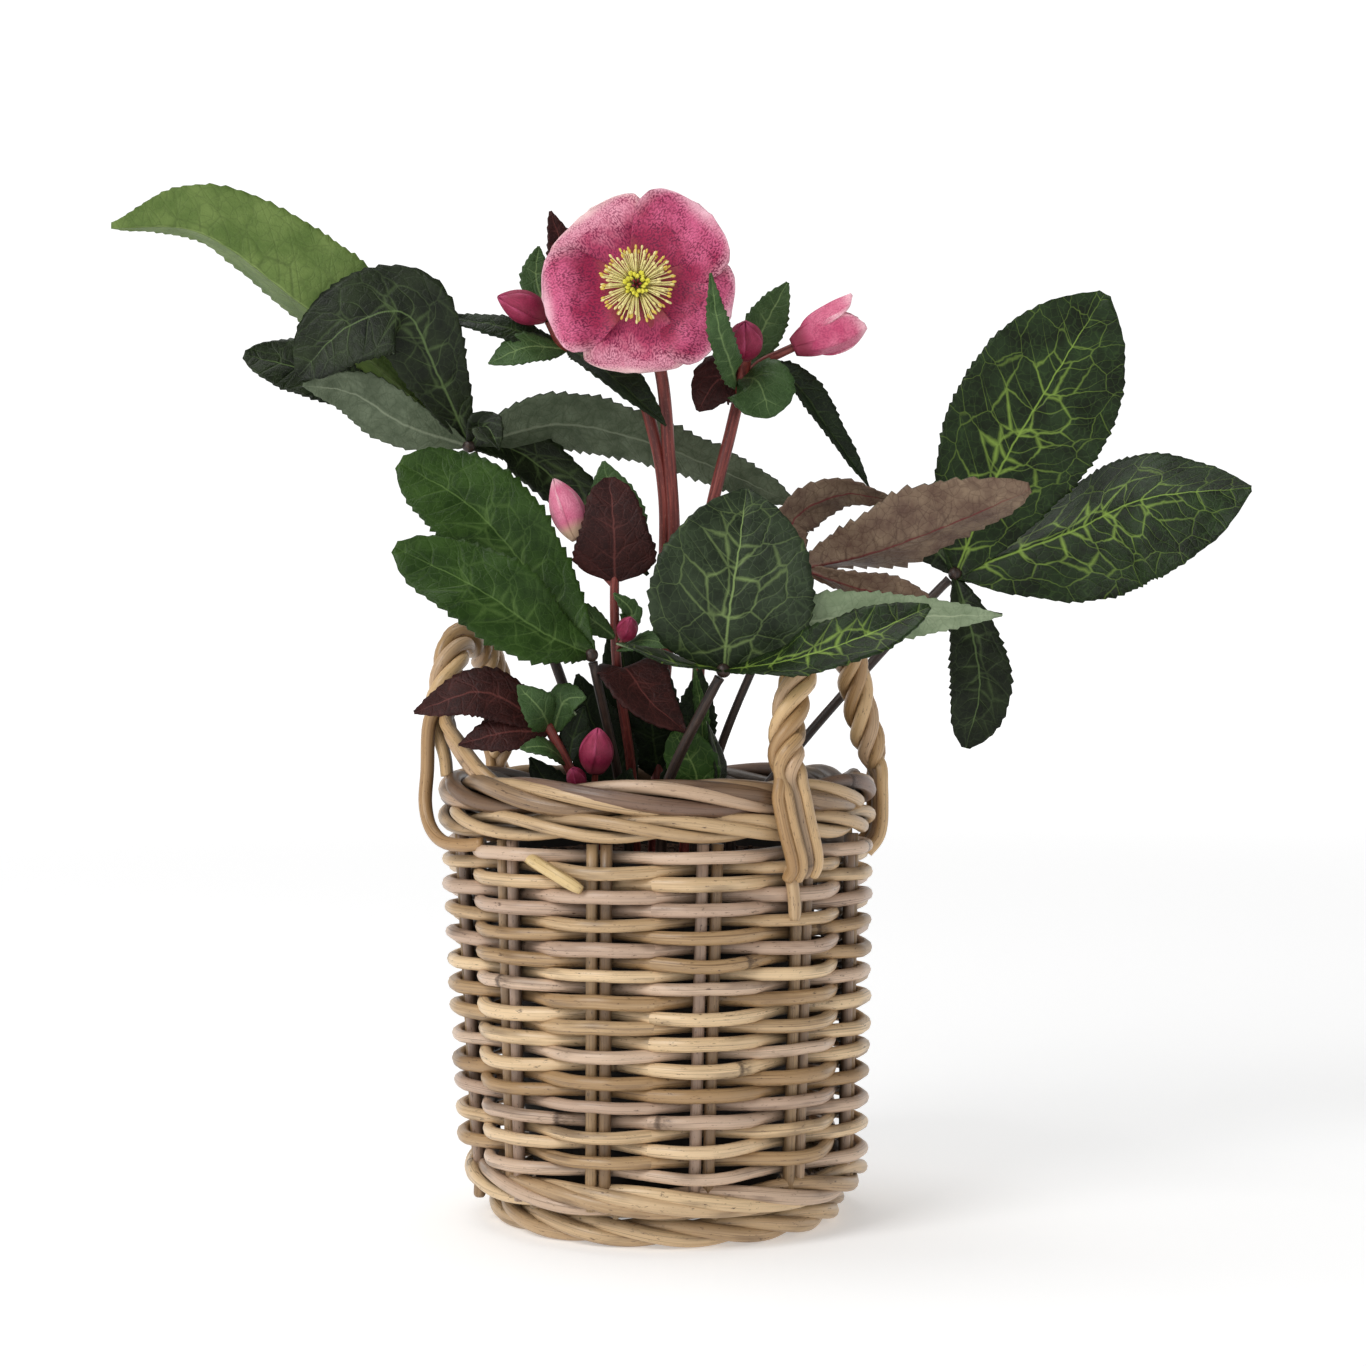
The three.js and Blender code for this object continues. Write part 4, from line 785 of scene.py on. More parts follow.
def blade(name, path, width, face, skins, fold=0.0, wave=0.0, outline="lance", tooth=1.15, pitch=4, step=1.1,
          across=9, cup=0.0, thick=0.7, vein_sink=0.22):
    """A leaf or sepal along its midrib, in millimetres. face is where its upper side looks, skins are its upper and
    its under side, fold lifts the edges by that many degrees and wave makes them rise and fall. tooth is the depth
    of a tooth, step the length of a row of the mesh and pitch the rows from one tooth to the next."""
    reach = np.linalg.norm(np.diff(smooth_way(path, 40), axis=0), axis=1).sum()
    rows = max(12, int(reach / step))
    line = smooth_way(path, rows + 1)
    ahead = unit(np.gradient(line, axis=0))
    side = unit(np.cross(ahead, unit(np.array(face, float))))
    normal = np.cross(side, ahead)
    sheet, u, v = new_sheet(name, 2 * across, rows)
    share = 2 * u - 1
    row = np.rint(v * rows).astype(int)
    t = row / rows
    spread = width * half_width(outline, t)
    lean = math.radians(fold)
    part = np.abs(share)
    # A tooth rises slowly and falls back at once, and the teeth get smaller towards both ends of the blade.
    saw = np.where(row < rows - 1, (row % pitch) / (pitch - 1), 0.0)
    saw = saw * (0.8 + 0.35 * np.sin(7.9 * (row // pitch) + 2.0 * np.sign(share)))
    edge = np.clip((part - 1 + 1.01 / across) * across, 0, 1)
    out = spread * share * math.cos(lean)
    out = out + np.sign(share) * tooth * edge * saw * np.sin(np.pi * np.clip(t, 0.05, 1)) ** 0.5
    # The rib and the side veins are shallow troughs, and the blade waves and cups a little between them.
    along_mm = t * reach
    across_mm = spread * share
    sway = 1.2 * np.sin(0.35 * across_mm + 0.22 * along_mm)
    phase = (along_mm - VEIN_RISE * spread * part - 0.01 * across_mm ** 2 + sway) / VEIN_STEP
    trough = np.exp(-((phase - np.round(phase)) * VEIN_STEP / VEIN_WIDTH) ** 2)
    trough = trough * np.clip(part * 6, 0, 1) * (1 - part ** 3)
    rib = np.exp(-(across_mm / VEIN_WIDTH) ** 2)
    rise = spread * part * math.sin(lean) + wave * part * np.sin(4 * np.pi * t + share)
    rise = rise + cup * spread * share ** 2 - vein_sink * trough - vein_sink * 1.6 * rib
    rise = rise + 0.4 * part * np.sin(along_mm / 4.3 + 2 * share)
    lay(sheet, line[row] + side[row] * out[:, None] + normal[row] * rise[:, None])
    map_sheet(sheet, across_mm, along_mm, share, t)
    for skin in skins:
        sheet.data.materials.append(skin)
    thicken(sheet, thick, other_side=1)
    return sheet


def knob(name, place, radius, material):
    """A small ball, sizes in millimetres."""
    bpy.ops.object.select_all(action="DESELECT")
    bpy.ops.mesh.primitive_uv_sphere_add(segments=16, ring_count=10, radius=radius / 1000, location=at(place))
    made = bpy.context.object
    made.name = name
    bpy.ops.object.transform_apply(location=True)
    made.data.materials.append(material)
    made.data.shade_smooth()
    return made


def stalk_skin(name, dark, light, fleck):
    """A juicy stalk: streaks along it and small flecks."""
    finish = Finish(name, roughness=0.42, specular=0.4)
    round_it, along = finish.span()
    streak = finish.noise(finish.scaled(round_it, 6.0, along, 2.2), 1.6, 4.0, 0.6)
    body = finish.mix(finish.ramp(streak, 0.35, 0.68), dark, light)
    dots = finish.noise(finish.scaled(round_it, 16.0, along, 16.0), 3.0, 2.0)
    body = finish.mix(finish.ramp(dots, 0.6, 0.72, 0.0, 0.6), body, fleck)
    finish.colour(body)
    finish.relief(streak, 0.0005, 0.6)
    return finish.material


# A stalk stands upright in its hole in the soil, from HOLE_FLOOR up to UPRIGHT_TOP. The knob in which the
# leaflets meet is KNOB_OVER thicker than the stalk, which ends KNOB_GAP and its own radius below it.
HOLE_FLOOR = 140.4
UPRIGHT_TOP = 158
KNOB_OVER = 0.85
KNOB_GAP = 1.2
STALK_STEPS = 60
dark_stalk = stalk_skin("dark_stalk", "1E1512", "43322A", "6B5444")


def rooted(foot):
    return [(*foot, HOLE_FLOOR), (*foot, UPRIGHT_TOP)]


def compound_leaf(name, foot, radius, way, heart, leaflets):
    """The stalk from its hole in the soil, and the leaflets that meet at its top."""
    heart = np.array(heart, float)
    into = unit(heart - np.array(way[-1], float))
    stop = heart - into * (radius + KNOB_GAP)
    line = smooth_way([*rooted(foot), *way[:-1], tuple(stop - 6 * into), tuple(stop)], STALK_STEPS)
    taper = 0.12 * np.linspace(1, -1, STALK_STEPS)
    girth = radius * (1 + taper + 0.12 * np.clip(np.linspace(-9, 1, STALK_STEPS), 0, 1))
    stalk = rod(f"{name}_petiole", line, girth, dark_stalk, sides=12)
    join(f"{name}_petiole", [stalk], f"{name}_leaf_stalk")
    parts = [knob(f"{name}_heart", heart, radius + KNOB_OVER, dark_stalk)]
    for number, leaflet in enumerate(leaflets):
        path = [tuple(heart), *leaflet["path"]]
        parts.append(blade(f"{name}_leaflet_{number}", **{**leaflet, "path": path}))
    join(f"{name}_leaflets", parts, f"{name}_leaf")


marbled = leaf_skin("marbled_leaf", "0E1705", "24351A", "829E44", marbling=0.95, net=0.26, side=0.45,
                    thread="40592A")
marbled_grey = leaf_skin("marbled_grey_leaf", "172012", "303C28", "7D9258", marbling=0.75, net=0.24, side=0.3,
                         thread="4C5E3C", roughness=0.46)
dusky = leaf_skin("dusky_leaf", "0C1208", "222C17", "55683E", marbling=0.5, net=0.2, side=0.4, thread="3A482E")
fresh_under = leaf_skin("fresh_underside", "50662F", "697D42", "33411C", marbling=0.5, net=0.3, side=0.3,
                        midrib=0.5, roughness=0.55, pale_rib="8C9E62", thread="46562A", cell=7.5)
grey_under = leaf_skin("grey_underside", "48533F", "69745E", "343F2B", marbling=0.45, net=0.25, side=0.3,
                       midrib=0.7, roughness=0.55, pale_rib="868F78", cell=8.0)
compound_leaf(
    "left_upper", (-22, 12), 2.3, [(-38, 14, 215), (-60, 15, 275)], (-80, 15, 323), [
        dict(path=[(-118, 4, 356), (-151, 0, 383), (-192, -4, 411), (-227, -8, 412)], width=30, face=(0, 0.7, 0.7),
             fold=42, skins=(marbled_grey, fresh_under), across=12),
        dict(path=[(-92, -4, 352), (-105, -10, 376), (-128, -12, 370), (-149, -10, 350)], width=19.5,
             face=(-0.1, -1, 0.25), fold=8, outline="blunt", skins=(dusky, grey_under), across=11),
        dict(path=[(-106, 4, 331), (-128, 0, 344), (-148, -4, 347)], width=12.5, face=(0, 0.8, 0.5),
             skins=(marbled_grey, grey_under)),
        dict(path=[(-120, 26, 346), (-150, 28, 356), (-178, 28, 363)], width=14.5, face=(0, -0.8, 0.5), fold=8,
             outline="blunt", skins=(dusky, grey_under)),
        dict(path=[(-42, 24, 333), (-6, 25, 326), (28, 24, 313), (58, 22, 299)], width=14.5, face=(0, 0.75, 0.6),
             fold=6, outline="heart", skins=(dusky, grey_under), tooth=1.9),
        dict(path=[(-62, 25, 322), (-30, 20, 296), (-4, 14, 268)], width=12.5, face=(0.1, -0.8, 0.5), fold=12,
             skins=(dusky, grey_under)),
        dict(path=[(-72, 4, 330), (-66, -4, 320)], width=6.8, face=(0.4, -0.9, 0.2), fold=20,
             skins=(dusky, grey_under)),
    ])


# ---------------------------------------------------------------- left lower leaf
# A younger leaf of two broad leaflets, brighter green and softer than the old ones, with faint pale side
# veins. Its stalk rises from the soil near the middle and leans out over the rim on the left.
bright = leaf_skin("bright_leaf", "1A3008", "314A1A", "6E8A4A", marbling=0.28, net=0.2, side=0.25, midrib=0.4,
                   thread="46602C")
compound_leaf(
    "left_lower", (-12, -8), 2.0, [(-16, -22, 185), (-22, -40, 215)], (-26, -46, 234), [
        dict(path=[(-50, -40, 266), (-75, -38, 294), (-104, -38, 312)], width=20.5, face=(0.1, -0.9, 0.35), fold=10,
             wave=1.5, outline="blunt", skins=(bright, fresh_under), across=12, tooth=1.9),
        dict(path=[(-45, -55, 243), (-70, -58, 260), (-104, -56, 277)], width=17.5, face=(-0.1, -0.85, 0.5), fold=8,
             wave=1.5, outline="blunt", skins=(bright, fresh_under), across=12, tooth=1.9),
    ])


# ---------------------------------------------------------------- front leaf
# The leaf that leans over the rim in front: an oval marbled leaflet that stands up, and three narrow ones. All
# are leathery and meet at the top of one dark stalk.
pale_under = leaf_skin("pale_underside", "6E7E60", "8E9C7E", "5A6A4C", marbling=0.45, net=0.25, side=0.3,
                       midrib=0.6, roughness=0.55, pale_rib="A9B494", cell=8.0)
compound_leaf(
    "front", (2, -32), 2.2, [(4, -46, 180), (15, -56, 206)], (27, -61, 228), [
        dict(path=[(29, -70, 250), (33, -68, 276), (36, -60, 300)], width=32.5, face=(0, -1, 0.15), fold=6,
             outline="oval", skins=(marbled_grey, pale_under), across=16),
        dict(path=[(52, -83, 232), (80, -85, 241), (107, -80, 253)], width=13.8, face=(0.1, -0.6, 0.78), fold=8,
             outline="broad", skins=(marbled, pale_under)),
        dict(path=[(8, -70, 231), (-15, -74, 239)], width=10.5, face=(0, -0.25, 1), fold=6,
             skins=(marbled, pale_under)),
        dict(path=[(56, -68, 246), (98, -63, 249), (138, -56, 250)], width=10.5, face=(0, 1, 0.15), fold=4,
             skins=(marbled, pale_under)),
    ])


# ---------------------------------------------------------------- middle leaf
# An older leaf that is dying back: its three leaflets have rolled and turned their undersides up, which are
# brown and purple. They are thin and dry, and still held by their stalk.
brown_under = leaf_skin("brown_underside", "5A443A", "86725E", "3E2A24", marbling=0.5, net=0.35, side=0.45,
                        midrib=0.8, roughness=0.5, pale_rib="6E2A30", cell=8.0)
compound_leaf(
    "middle", (20, 12), 1.9, [(26, 10, 192), (40, 7, 234)], (61, 2, 270), [
        dict(path=[(88, -12, 276), (121, -20, 288), (153, -28, 302)], width=18.5, face=(0, 0.78, 0.62), fold=30,
             wave=2.2, outline="broad", skins=(marbled, brown_under), across=12, tooth=2.4, pitch=6),
        dict(path=[(57, 9, 290), (78, 11, 302), (103, 11, 299)], width=8.7, face=(0, 0.85, 0.5), wave=2,
             skins=(brown_under, brown_under)),
        dict(path=[(84, -8, 262), (105, -12, 257), (122, -14, 246)], width=8.7, face=(0, 0.75, 0.66), fold=5,
             wave=1, skins=(brown_under, brown_under)),
    ])


# ---------------------------------------------------------------- right leaf
# The best marbled leaf: two broad leathery leaflets face the front, a narrow one hangs down and a small one
# stands. Its long stalk leans out over the rim on the right.
compound_leaf(
    "right", (32, 24), 2.2, [(48, 34, 178), (67, 41, 201), (95, 43, 236)], (129, 37, 269), [
        dict(path=[(148, 34, 314), (168, 31, 349), (192, 26, 389)], width=33.5, face=(0.05, -1, 0.05), fold=6,
             wave=1.5, outline="broad", skins=(marbled, pale_under), across=16),
        dict(path=[(178, 27, 287), (206, 16, 300), (250.3, 4, 304.5)], width=36.5, face=(0, -0.8, 0.6), fold=-20,
             wave=1.5, outline="broad", skins=(marbled, pale_under), across=16),
        dict(path=[(136, 27, 240), (138, 23, 218), (132, 22, 194)], width=13.5, face=(0.1, -1, 0.1), fold=14,
             outline="blunt", skins=(dusky, pale_under)),
        dict(path=[(118, 43, 284), (108, 45, 297)], width=7.8, face=(0, -1, 0.2), skins=(dusky, pale_under)),
    ])


# ---------------------------------------------------------------- young leaf
# A new leaf that has just risen from the soil between the stems. Its three leaflets are light green, soft and
# still folded together.
young = leaf_skin("young_leaf", "2A4619", "3E5C29", "86A05C", marbling=0.35, net=0.15, side=0.5, midrib=0.6)
compound_leaf(
    "young", (15, -20), 1.5, [(15, -20, 163)], (16, -23, 172), [
        dict(path=[(16, -30, 186), (7, -33, 203)], width=10, face=(0, -1, 0.3), outline="blunt",
             skins=(young, pale_under)),
        dict(path=[(26, -26, 184), (21, -26, 207)], width=5, face=(1, -0.5, 0), skins=(dusky, pale_under)),
        dict(path=[(19, -19, 203), (15, -22, 231)], width=5, face=(-1, -0.6, 0), skins=(young, pale_under)),
    ])


# ---------------------------------------------------------------- main flowering stem
# A thick, fleshy red stem that rises from the soil and forks below the open flower. Bracts, small leaves cut
# at the edge, grow from it at each fork.
BRACT = dict(step=0.85, across=6, tooth=1.0, vein_sink=0.15)
red_stem = stalk_skin("red_stem", "521B18", "8E4038", "B56C5C")


def flowering_stem(name, foot, stems, bracts, node):
    """stems are the ways and radii of the stem and its forks, the first of which stands in the soil."""
    (first, first_radius), *forks = stems
    parts = []
    for number, (points, radius) in enumerate([([*rooted(foot), *first], first_radius), *forks]):
        line = smooth_way(points, 16 * len(points))
        girth = radius * (1.06 - 0.1 * np.linspace(0, 1, len(line)))
        parts.append(rod(f"{name}_{number}", line, girth, red_stem, sides=14))
    for number, bract in enumerate(bracts):
        parts.append(blade(f"{name}_bract_{number}", **{**BRACT, **bract}))
    join(name, parts, node)


green_bract = leaf_skin("green_bract", "2B421F", "465E38", "7C945E", marbling=0.2, net=0.2, side=0.4, midrib=0.6,
                        thread="5C7C46", cell=18.0)
dark_bract = leaf_skin("dark_bract", "0F180B", "1E2C17", "44562F", marbling=0.2, net=0.15, side=0.4, midrib=0.5,
                       cell=16.0)
maroon_bract = leaf_skin("maroon_bract", "220D0C", "3A1B18", "643632", marbling=0.2, net=0.2, side=0.4, midrib=0.8,
                         roughness=0.48, cell=16.0)
olive_bract = leaf_skin("olive_bract", "2E2A16", "453F22", "7A7446", marbling=0.2, net=0.2, side=0.4, midrib=0.6,
                        cell=16.0)
greens = (green_bract, pale_under)
darks = (dark_bract, maroon_bract)
maroons = (maroon_bract, maroon_bract)
flowering_stem("flower_stalk", (-1, 5), [
    ([(2, 4, 210), (7, 2, 280), (5, 0, 318), (2, -7, 350), (-5, -20, 375), (-7.6, -27.1, 381)], 2.7),
    ([(3, 5, 262), (3, 3, 300), (-1, 3, 325), (-11, 2, 352), (-26, 2, 361), (-39, 0, 364), (-45, -1, 374)], 2.5),
], [
    dict(path=[(-38, 0, 363), (-64, -3, 371), (-93, -6, 375)], width=6.3, face=(0, -0.75, 0.65), skins=darks),
    dict(path=[(-38, 0, 362), (-54, -8, 362), (-70, -10, 355)], width=8.7, face=(0, -0.8, 0.6), skins=greens),
    dict(path=[(-37, -1, 362), (-22, -12, 352), (4, -12, 329)], width=11.7, face=(0.2, -0.7, 0.7), fold=25,
         skins=(dark_bract, olive_bract)),
    dict(path=[(-43, 2, 371), (-51, 9, 392), (-50, 5, 406)], width=6.8, face=(0, -1, 0.2), skins=greens),
    dict(path=[(-43, 2, 370), (-38, 8, 396), (-45, 6, 421)], width=8.8, face=(0.3, -1, 0), skins=maroons),
    dict(path=[(-43, -3, 371), (-38, -12, 384), (-46, -16, 396)], width=5.8, face=(0, -1, 0.3), skins=maroons),
    dict(path=[(0.5, 4.5, 186), (-9, 8, 213), (-19, 8, 248)], width=14.8, face=(0, -1, 0.2), skins=darks),
    dict(path=[(1, 4.5, 181), (-2, -4, 205), (-1, -9, 240)], width=12.8, face=(0, -1, 0.3), skins=darks),
], "main_flower_stem")


# ---------------------------------------------------------------- right flowering stem
# A lighter red stem, as fleshy as the first. It rises beside it from the soil and forks at its top, to carry
# the round bud and the opening bud over a ruff of green bracts.
flowering_stem("right_stalk", (12, 2), [
    ([(17, 2, 220), (21, 0, 285), (31, 0, 328), (36, -1, 350), (37, -5, 357.5)], 2.6),
    ([(35, 0, 347), (43, 1, 356), (52, 0, 360.5), (57.6, 0, 363.1)], 1.9),
], [
    dict(path=[(35, -2, 350), (42, -13, 347), (47, -17, 332)], width=13.7, face=(0, -1, 0.3), outline="blunt",
         skins=greens),
    dict(path=[(35, 0, 349), (26, -3, 349), (17, -4, 336)], width=10.8, face=(0, -1, 0.2), outline="oval",
         skins=maroons),
    dict(path=[(36, 0.5, 351), (46, 8, 374), (55, 6, 391)], width=8.8, face=(-0.2, -1, 0), skins=greens),
    dict(path=[(33, -2, 347), (31, -30, 350), (25, -49, 366), (22, -49, 387)], width=5.6, face=(0.3, -1, 0),
         skins=greens),
    dict(path=[(37, 0.5, 350), (56, 9, 350), (72, 10, 330), (90, 12, 305)], width=8.3, face=(0.5, -0.8, 0.4),
         fold=30, skins=(dark_bract, pale_under)),
    dict(path=[(13.5, 2, 180), (16, -6, 205), (18, -8, 228)], width=8.8, face=(0, -1, 0.2), skins=darks),
    dict(path=[(12.8, 2, 165), (8, -9, 176), (6, -14, 192)], width=7.8, face=(0, -1, 0.4), skins=darks),
], "right_flower_stem")


# ---------------------------------------------------------------- middle flowering stem
# A short red stem in the middle of the pot. A broad maroon bract stands at its top, with one pink bud on a
# side shoot, and a small bud hangs on another below.
flowering_stem("middle_stalk", (-9, 0), [
    ([(-11, -12, 190), (-16, -27, 228), (-17, -31, 250), (-17, -31, 268)], 2.0),
    ([(-17, -31, 262), (-25, -30, 271), (-30.9, -29.6, 281)], 1.4),
    ([(-16, -29, 236), (-14, -35, 239), (-12.9, -38, 240.6)], 1.2),
], [
    dict(path=[(-17, -32, 264), (-17, -40, 284), (-19, -37, 306)], width=16.7, face=(0, -1, 0.2), outline="heart",
         skins=maroons, across=9),
    dict(path=[(-17, -31, 264), (-17, -20, 290), (-22, -18, 314)], width=12.8, face=(0, -1, 0.1), skins=greens),
    dict(path=[(-17, -32, 241), (-27, -38, 249), (-38, -40, 254)], width=5.8, face=(0, -0.8, 0.6), skins=greens),
    dict(path=[(-16, -32, 236), (-4, -40, 240), (8, -44, 237)], width=5.8, face=(0, -0.6, 0.8), skins=greens),
    dict(path=[(-16, -31, 240), (-10, -34, 251), (-17, -37, 259)], width=4, face=(0, -1, 0.3), skins=greens),
    dict(path=[(-16, -27.5, 228), (-12, -37, 228), (-3, -44, 216), (12, -45, 203)], width=14.7,
         face=(0.3, -0.8, 0.5), fold=12, skins=maroons),
    dict(path=[(-10.5, -8, 176), (-23, -9, 196), (-33, -13, 226)], width=13.8, face=(0, -1, 0.2), skins=darks),
], "middle_flower_stem")


# ---------------------------------------------------------------- low flowering stem
# The lowest red stem leans to the left just above the rim. Dark maroon leaves grow from its tip and small
# green bracts lower down, round the side shoots of two buds.
flowering_stem("low_stalk", (-24, -24), [
    ([(-27, -32, 168), (-36, -40, 190), (-44, -43, 206)], 2.2),
    ([(-29, -34, 173), (-25, -43, 181), (-24.4, -48, 186.6)], 1.3),
    ([(-27, -32, 168), (-29, -38, 175), (-30.7, -44, 180)], 1.2),
], [
    dict(path=[(-44, -43, 205), (-69, -49, 219), (-97, -50, 211)], width=10.8, face=(0, -0.9, 0.4), skins=maroons),
    dict(path=[(-43, -43, 203), (-60, -50, 203), (-79, -52, 198)], width=8.3, face=(0, -0.9, 0.5),
         skins=(maroon_bract, dark_bract)),
    dict(path=[(-43, -42, 204), (-46, -53, 212), (-55, -56, 222)], width=7.8, face=(0, -1, 0.5), skins=greens),
    dict(path=[(-42, -41, 202), (-36, -48, 216), (-28, -50, 217)], width=6.8, face=(0, -1, 0.3), skins=greens),
    dict(path=[(-36, -40, 190), (-33, -40, 202), (-29, -42, 213)], width=5.8, face=(0, -1, 0), skins=darks),
    dict(path=[(-36, -40, 190), (-44, -51, 197), (-54, -55, 197)], width=5.3, face=(0, -0.8, 0.7), skins=greens),
    dict(path=[(-28, -33, 169), (-28, -50, 172), (-20, -61, 177)], width=5.8, face=(0, -0.7, 0.8), skins=greens),
    dict(path=[(-26, -29, 162), (-17, -36, 172), (-10, -42, 188)], width=8.8, face=(0, -1, 0.4), skins=darks),
    dict(path=[(-27, -31, 166), (-40, -28, 176), (-52, -26, 192)], width=8.8, face=(0, -1, 0.4), skins=darks),
], "low_flower_stem")


# ---------------------------------------------------------------- open flower
# Five broad overlapping sepals on a small green boss: rose pink, speckled and veined with crimson, and pale
# at the edge.
def sepal_skin(name, deep, rose, pale, spot, heart, speckle=1.0, fade=0.0):
    """pale is the colour at the edge and heart that at the foot. fade is how much paler and less speckled the sepal
    gets from its foot to its tip."""
    finish = Finish(name, roughness=0.5, specular=0.3)
    across, along = finish.span()
    share, t = finish.span("Span")
    where = finish.vector(across, along)
    clouds = finish.noise(where, 5.0, 3.0, 0.6)
    off = finish.sums("ABSOLUTE", share)
    rim = finish.sums("MAXIMUM", finish.ramp(off, 0.74, 1.02), finish.ramp(t, 0.8, 1.02))
    rim = finish.times(rim, finish.ramp(clouds, 0.3, 0.6, 0.45, 1.0))
    rim = finish.times(rim, finish.ramp(t, 0.4, 0.72))
    paling = finish.sums("MULTIPLY_ADD", finish.sums("SUBTRACT", t, 0.6), fade, clouds)
    body = finish.mix(finish.ramp(paling, 0.36, 0.64), deep, rose)
    body = finish.mix(rim, body, pale)
    lines = finish.noise(finish.scaled(share, 26.0, t, 1.3), 1.5)
    body = finish.mix(finish.ramp(lines, 0.5, 0.7, 0.0, 0.35), body, deep)
    dots = finish.noise(finish.vector(finish.times(across, 1.5), along), 95.0, 1.0, 0.4)
    blots = finish.noise(where, 17.0, 3.0, 0.6)
    place = finish.times(finish.ramp(blots, 0.36, 0.62, 0.45, 1.0), finish.ramp(t, 0.12, 0.36))
    place = finish.times(place, finish.ramp(rim, 0.8, 0.15, 0.25, speckle))
    place = finish.times(place, finish.ramp(paling, 0.8, 0.45, 1 - fade, 1.0))
    body = finish.mix(finish.times(finish.ramp(dots, 0.48, 0.54), place), body, spot)
    body = finish.mix(finish.ramp(t, 0.34, 0.12, 0.0, 0.75), body, heart)
    finish.colour(body)
    finish.relief(finish.sums("ADD", lines, finish.times(finish.noise(where, 60.0), 0.5)), 0.0004, 0.5)
    return finish.material


def drum(radius, depth, place):
    """A short drum with its flat side to the front, sizes in millimetres."""
    bpy.ops.object.select_all(action="DESELECT")
    bpy.ops.mesh.primitive_cylinder_add(vertices=24, radius=radius / 1000, depth=depth / 1000,
                                        rotation=(math.pi / 2, 0, 0), location=at(place))
    bpy.ops.object.transform_apply()
    return bpy.context.object


def flower_way(angle):
    """The way out from the middle of the flower, at an angle from its top."""
    return np.array([math.sin(angle), 0, math.cos(angle)])


deep_pink = sepal_skin("deep_open_sepal", "9C2049", "CE5F86", "F0C2CE", "6A143A", heart="8C4A3C", fade=0.6)
soft_pink = sepal_skin("soft_open_sepal", "B43E64", "DA93A6", "EBCAC8", "7E2048", heart="9A5A48", fade=0.6)
FLOWER = np.array([-7.8, -31.0, 383.6])
boss = drum(4.4, 6.8, FLOWER + [0, -1.5, 0])
bpy.ops.object.modifier_add(type="BEVEL")
boss.modifiers[-1].width = 0.0012
boss.modifiers[-1].segments = 3
bpy.ops.object.modifier_apply(modifier=boss.modifiers[-1].name)
boss.data.shade_smooth()
boss.data.materials.append(green_bract)
flower_parts = [boss]
# Each sepal's angle from the top, how far in front of the first one it lies, its length, half width and finish.
for from_top, front, reach, width, pink in (
    (324, 0.0, 36.5, 21.9, soft_pink), (182, 0.8, 35, 21, soft_pink), (113, 1.8, 40, 22.4, deep_pink),
    (42, 2.8, 41.5, 22.4, deep_pink), (257, 2.9, 38.5, 21.6, deep_pink),
):
    path = [FLOWER + flower_way(math.radians(from_top)) * r + [0, -f, 0] for r, f in
            ((2, 0.4 + 0.4 * front), (16, 1 + front), (29, 3.6 + front), (reach, 2.4 + front))]
    flower_parts.append(blade(f"sepal_{from_top}", path, width, (0, -1, 0), (pink, pink), fold=3,
                              outline="sepal", tooth=0, step=0.9, across=22, cup=0.02, wave=1.3, thick=0.6,
                              vein_sink=0.0))
join("open_sepals", flower_parts, "flower")


# ---------------------------------------------------------------- stamens
# A brush of soft cream filaments, each with a small anther full of pollen, round a tight ring of yellow
# nectaries and a few dark red styles. All of them grow from an olive cushion in the middle of the flower.
def brush_skin(name, light, dark, scale, roughness, specular=0.5, grainy=False):
    """Two colours that run into each other, with the grain of pollen where that is asked for."""
    finish = Finish(name, roughness=roughness, specular=specular)
    where = finish.places()
    finish.colour(finish.mix(finish.noise(where, scale), light, dark))
    if grainy:
        finish.relief(finish.noise(where, 2500.0), 0.0002, 0.6)
    return finish.material


cream = brush_skin("cream_filament", "E9DFA4", "CFC06A", 400.0, 0.55)
gold = brush_skin("gold_anther", "E4CC6A", "C0A03C", 900.0, 0.7, 0.2, grainy=True)
lemon = brush_skin("lemon_nectary", "EAE45C", "C6BE30", 900.0, 0.6, 0.2, grainy=True)
crimson = brush_skin("crimson_style", "8E1E2C", "5A1420", 500.0, 0.5)
olive = brush_skin("olive_cushion", "6E6426", "3A3216", 500.0, 0.6)

# Each part is turned on from the last by this angle, in radians, as seeds are in a sunflower.
NEXT_TURN = 2.39996
FILAMENTS = 116
NECTARIES = 34
STYLES = 5
stamen_draw = random.Random(7)
HEART = FLOWER + [0, -6.9, 0]
cushion = drum(4.7, 2.7, HEART)
cushion.data.materials.append(olive)
stamen_parts = [cushion]


def grain(place, along, length, girth, material):
    """A little bean that lies along the end of its filament, or stands on the cushion."""
    bpy.ops.object.select_all(action="DESELECT")
    bpy.ops.mesh.primitive_uv_sphere_add(segments=8, ring_count=6, radius=0.001)
    made = bpy.context.object
    made.scale = (girth, girth, length)
    made.rotation_euler = Vector(along).to_track_quat("Z", "Y").to_euler()
    made.location = at(place)
    bpy.ops.object.transform_apply()
    made.data.materials.append(material)
    made.data.shade_smooth()
    return made


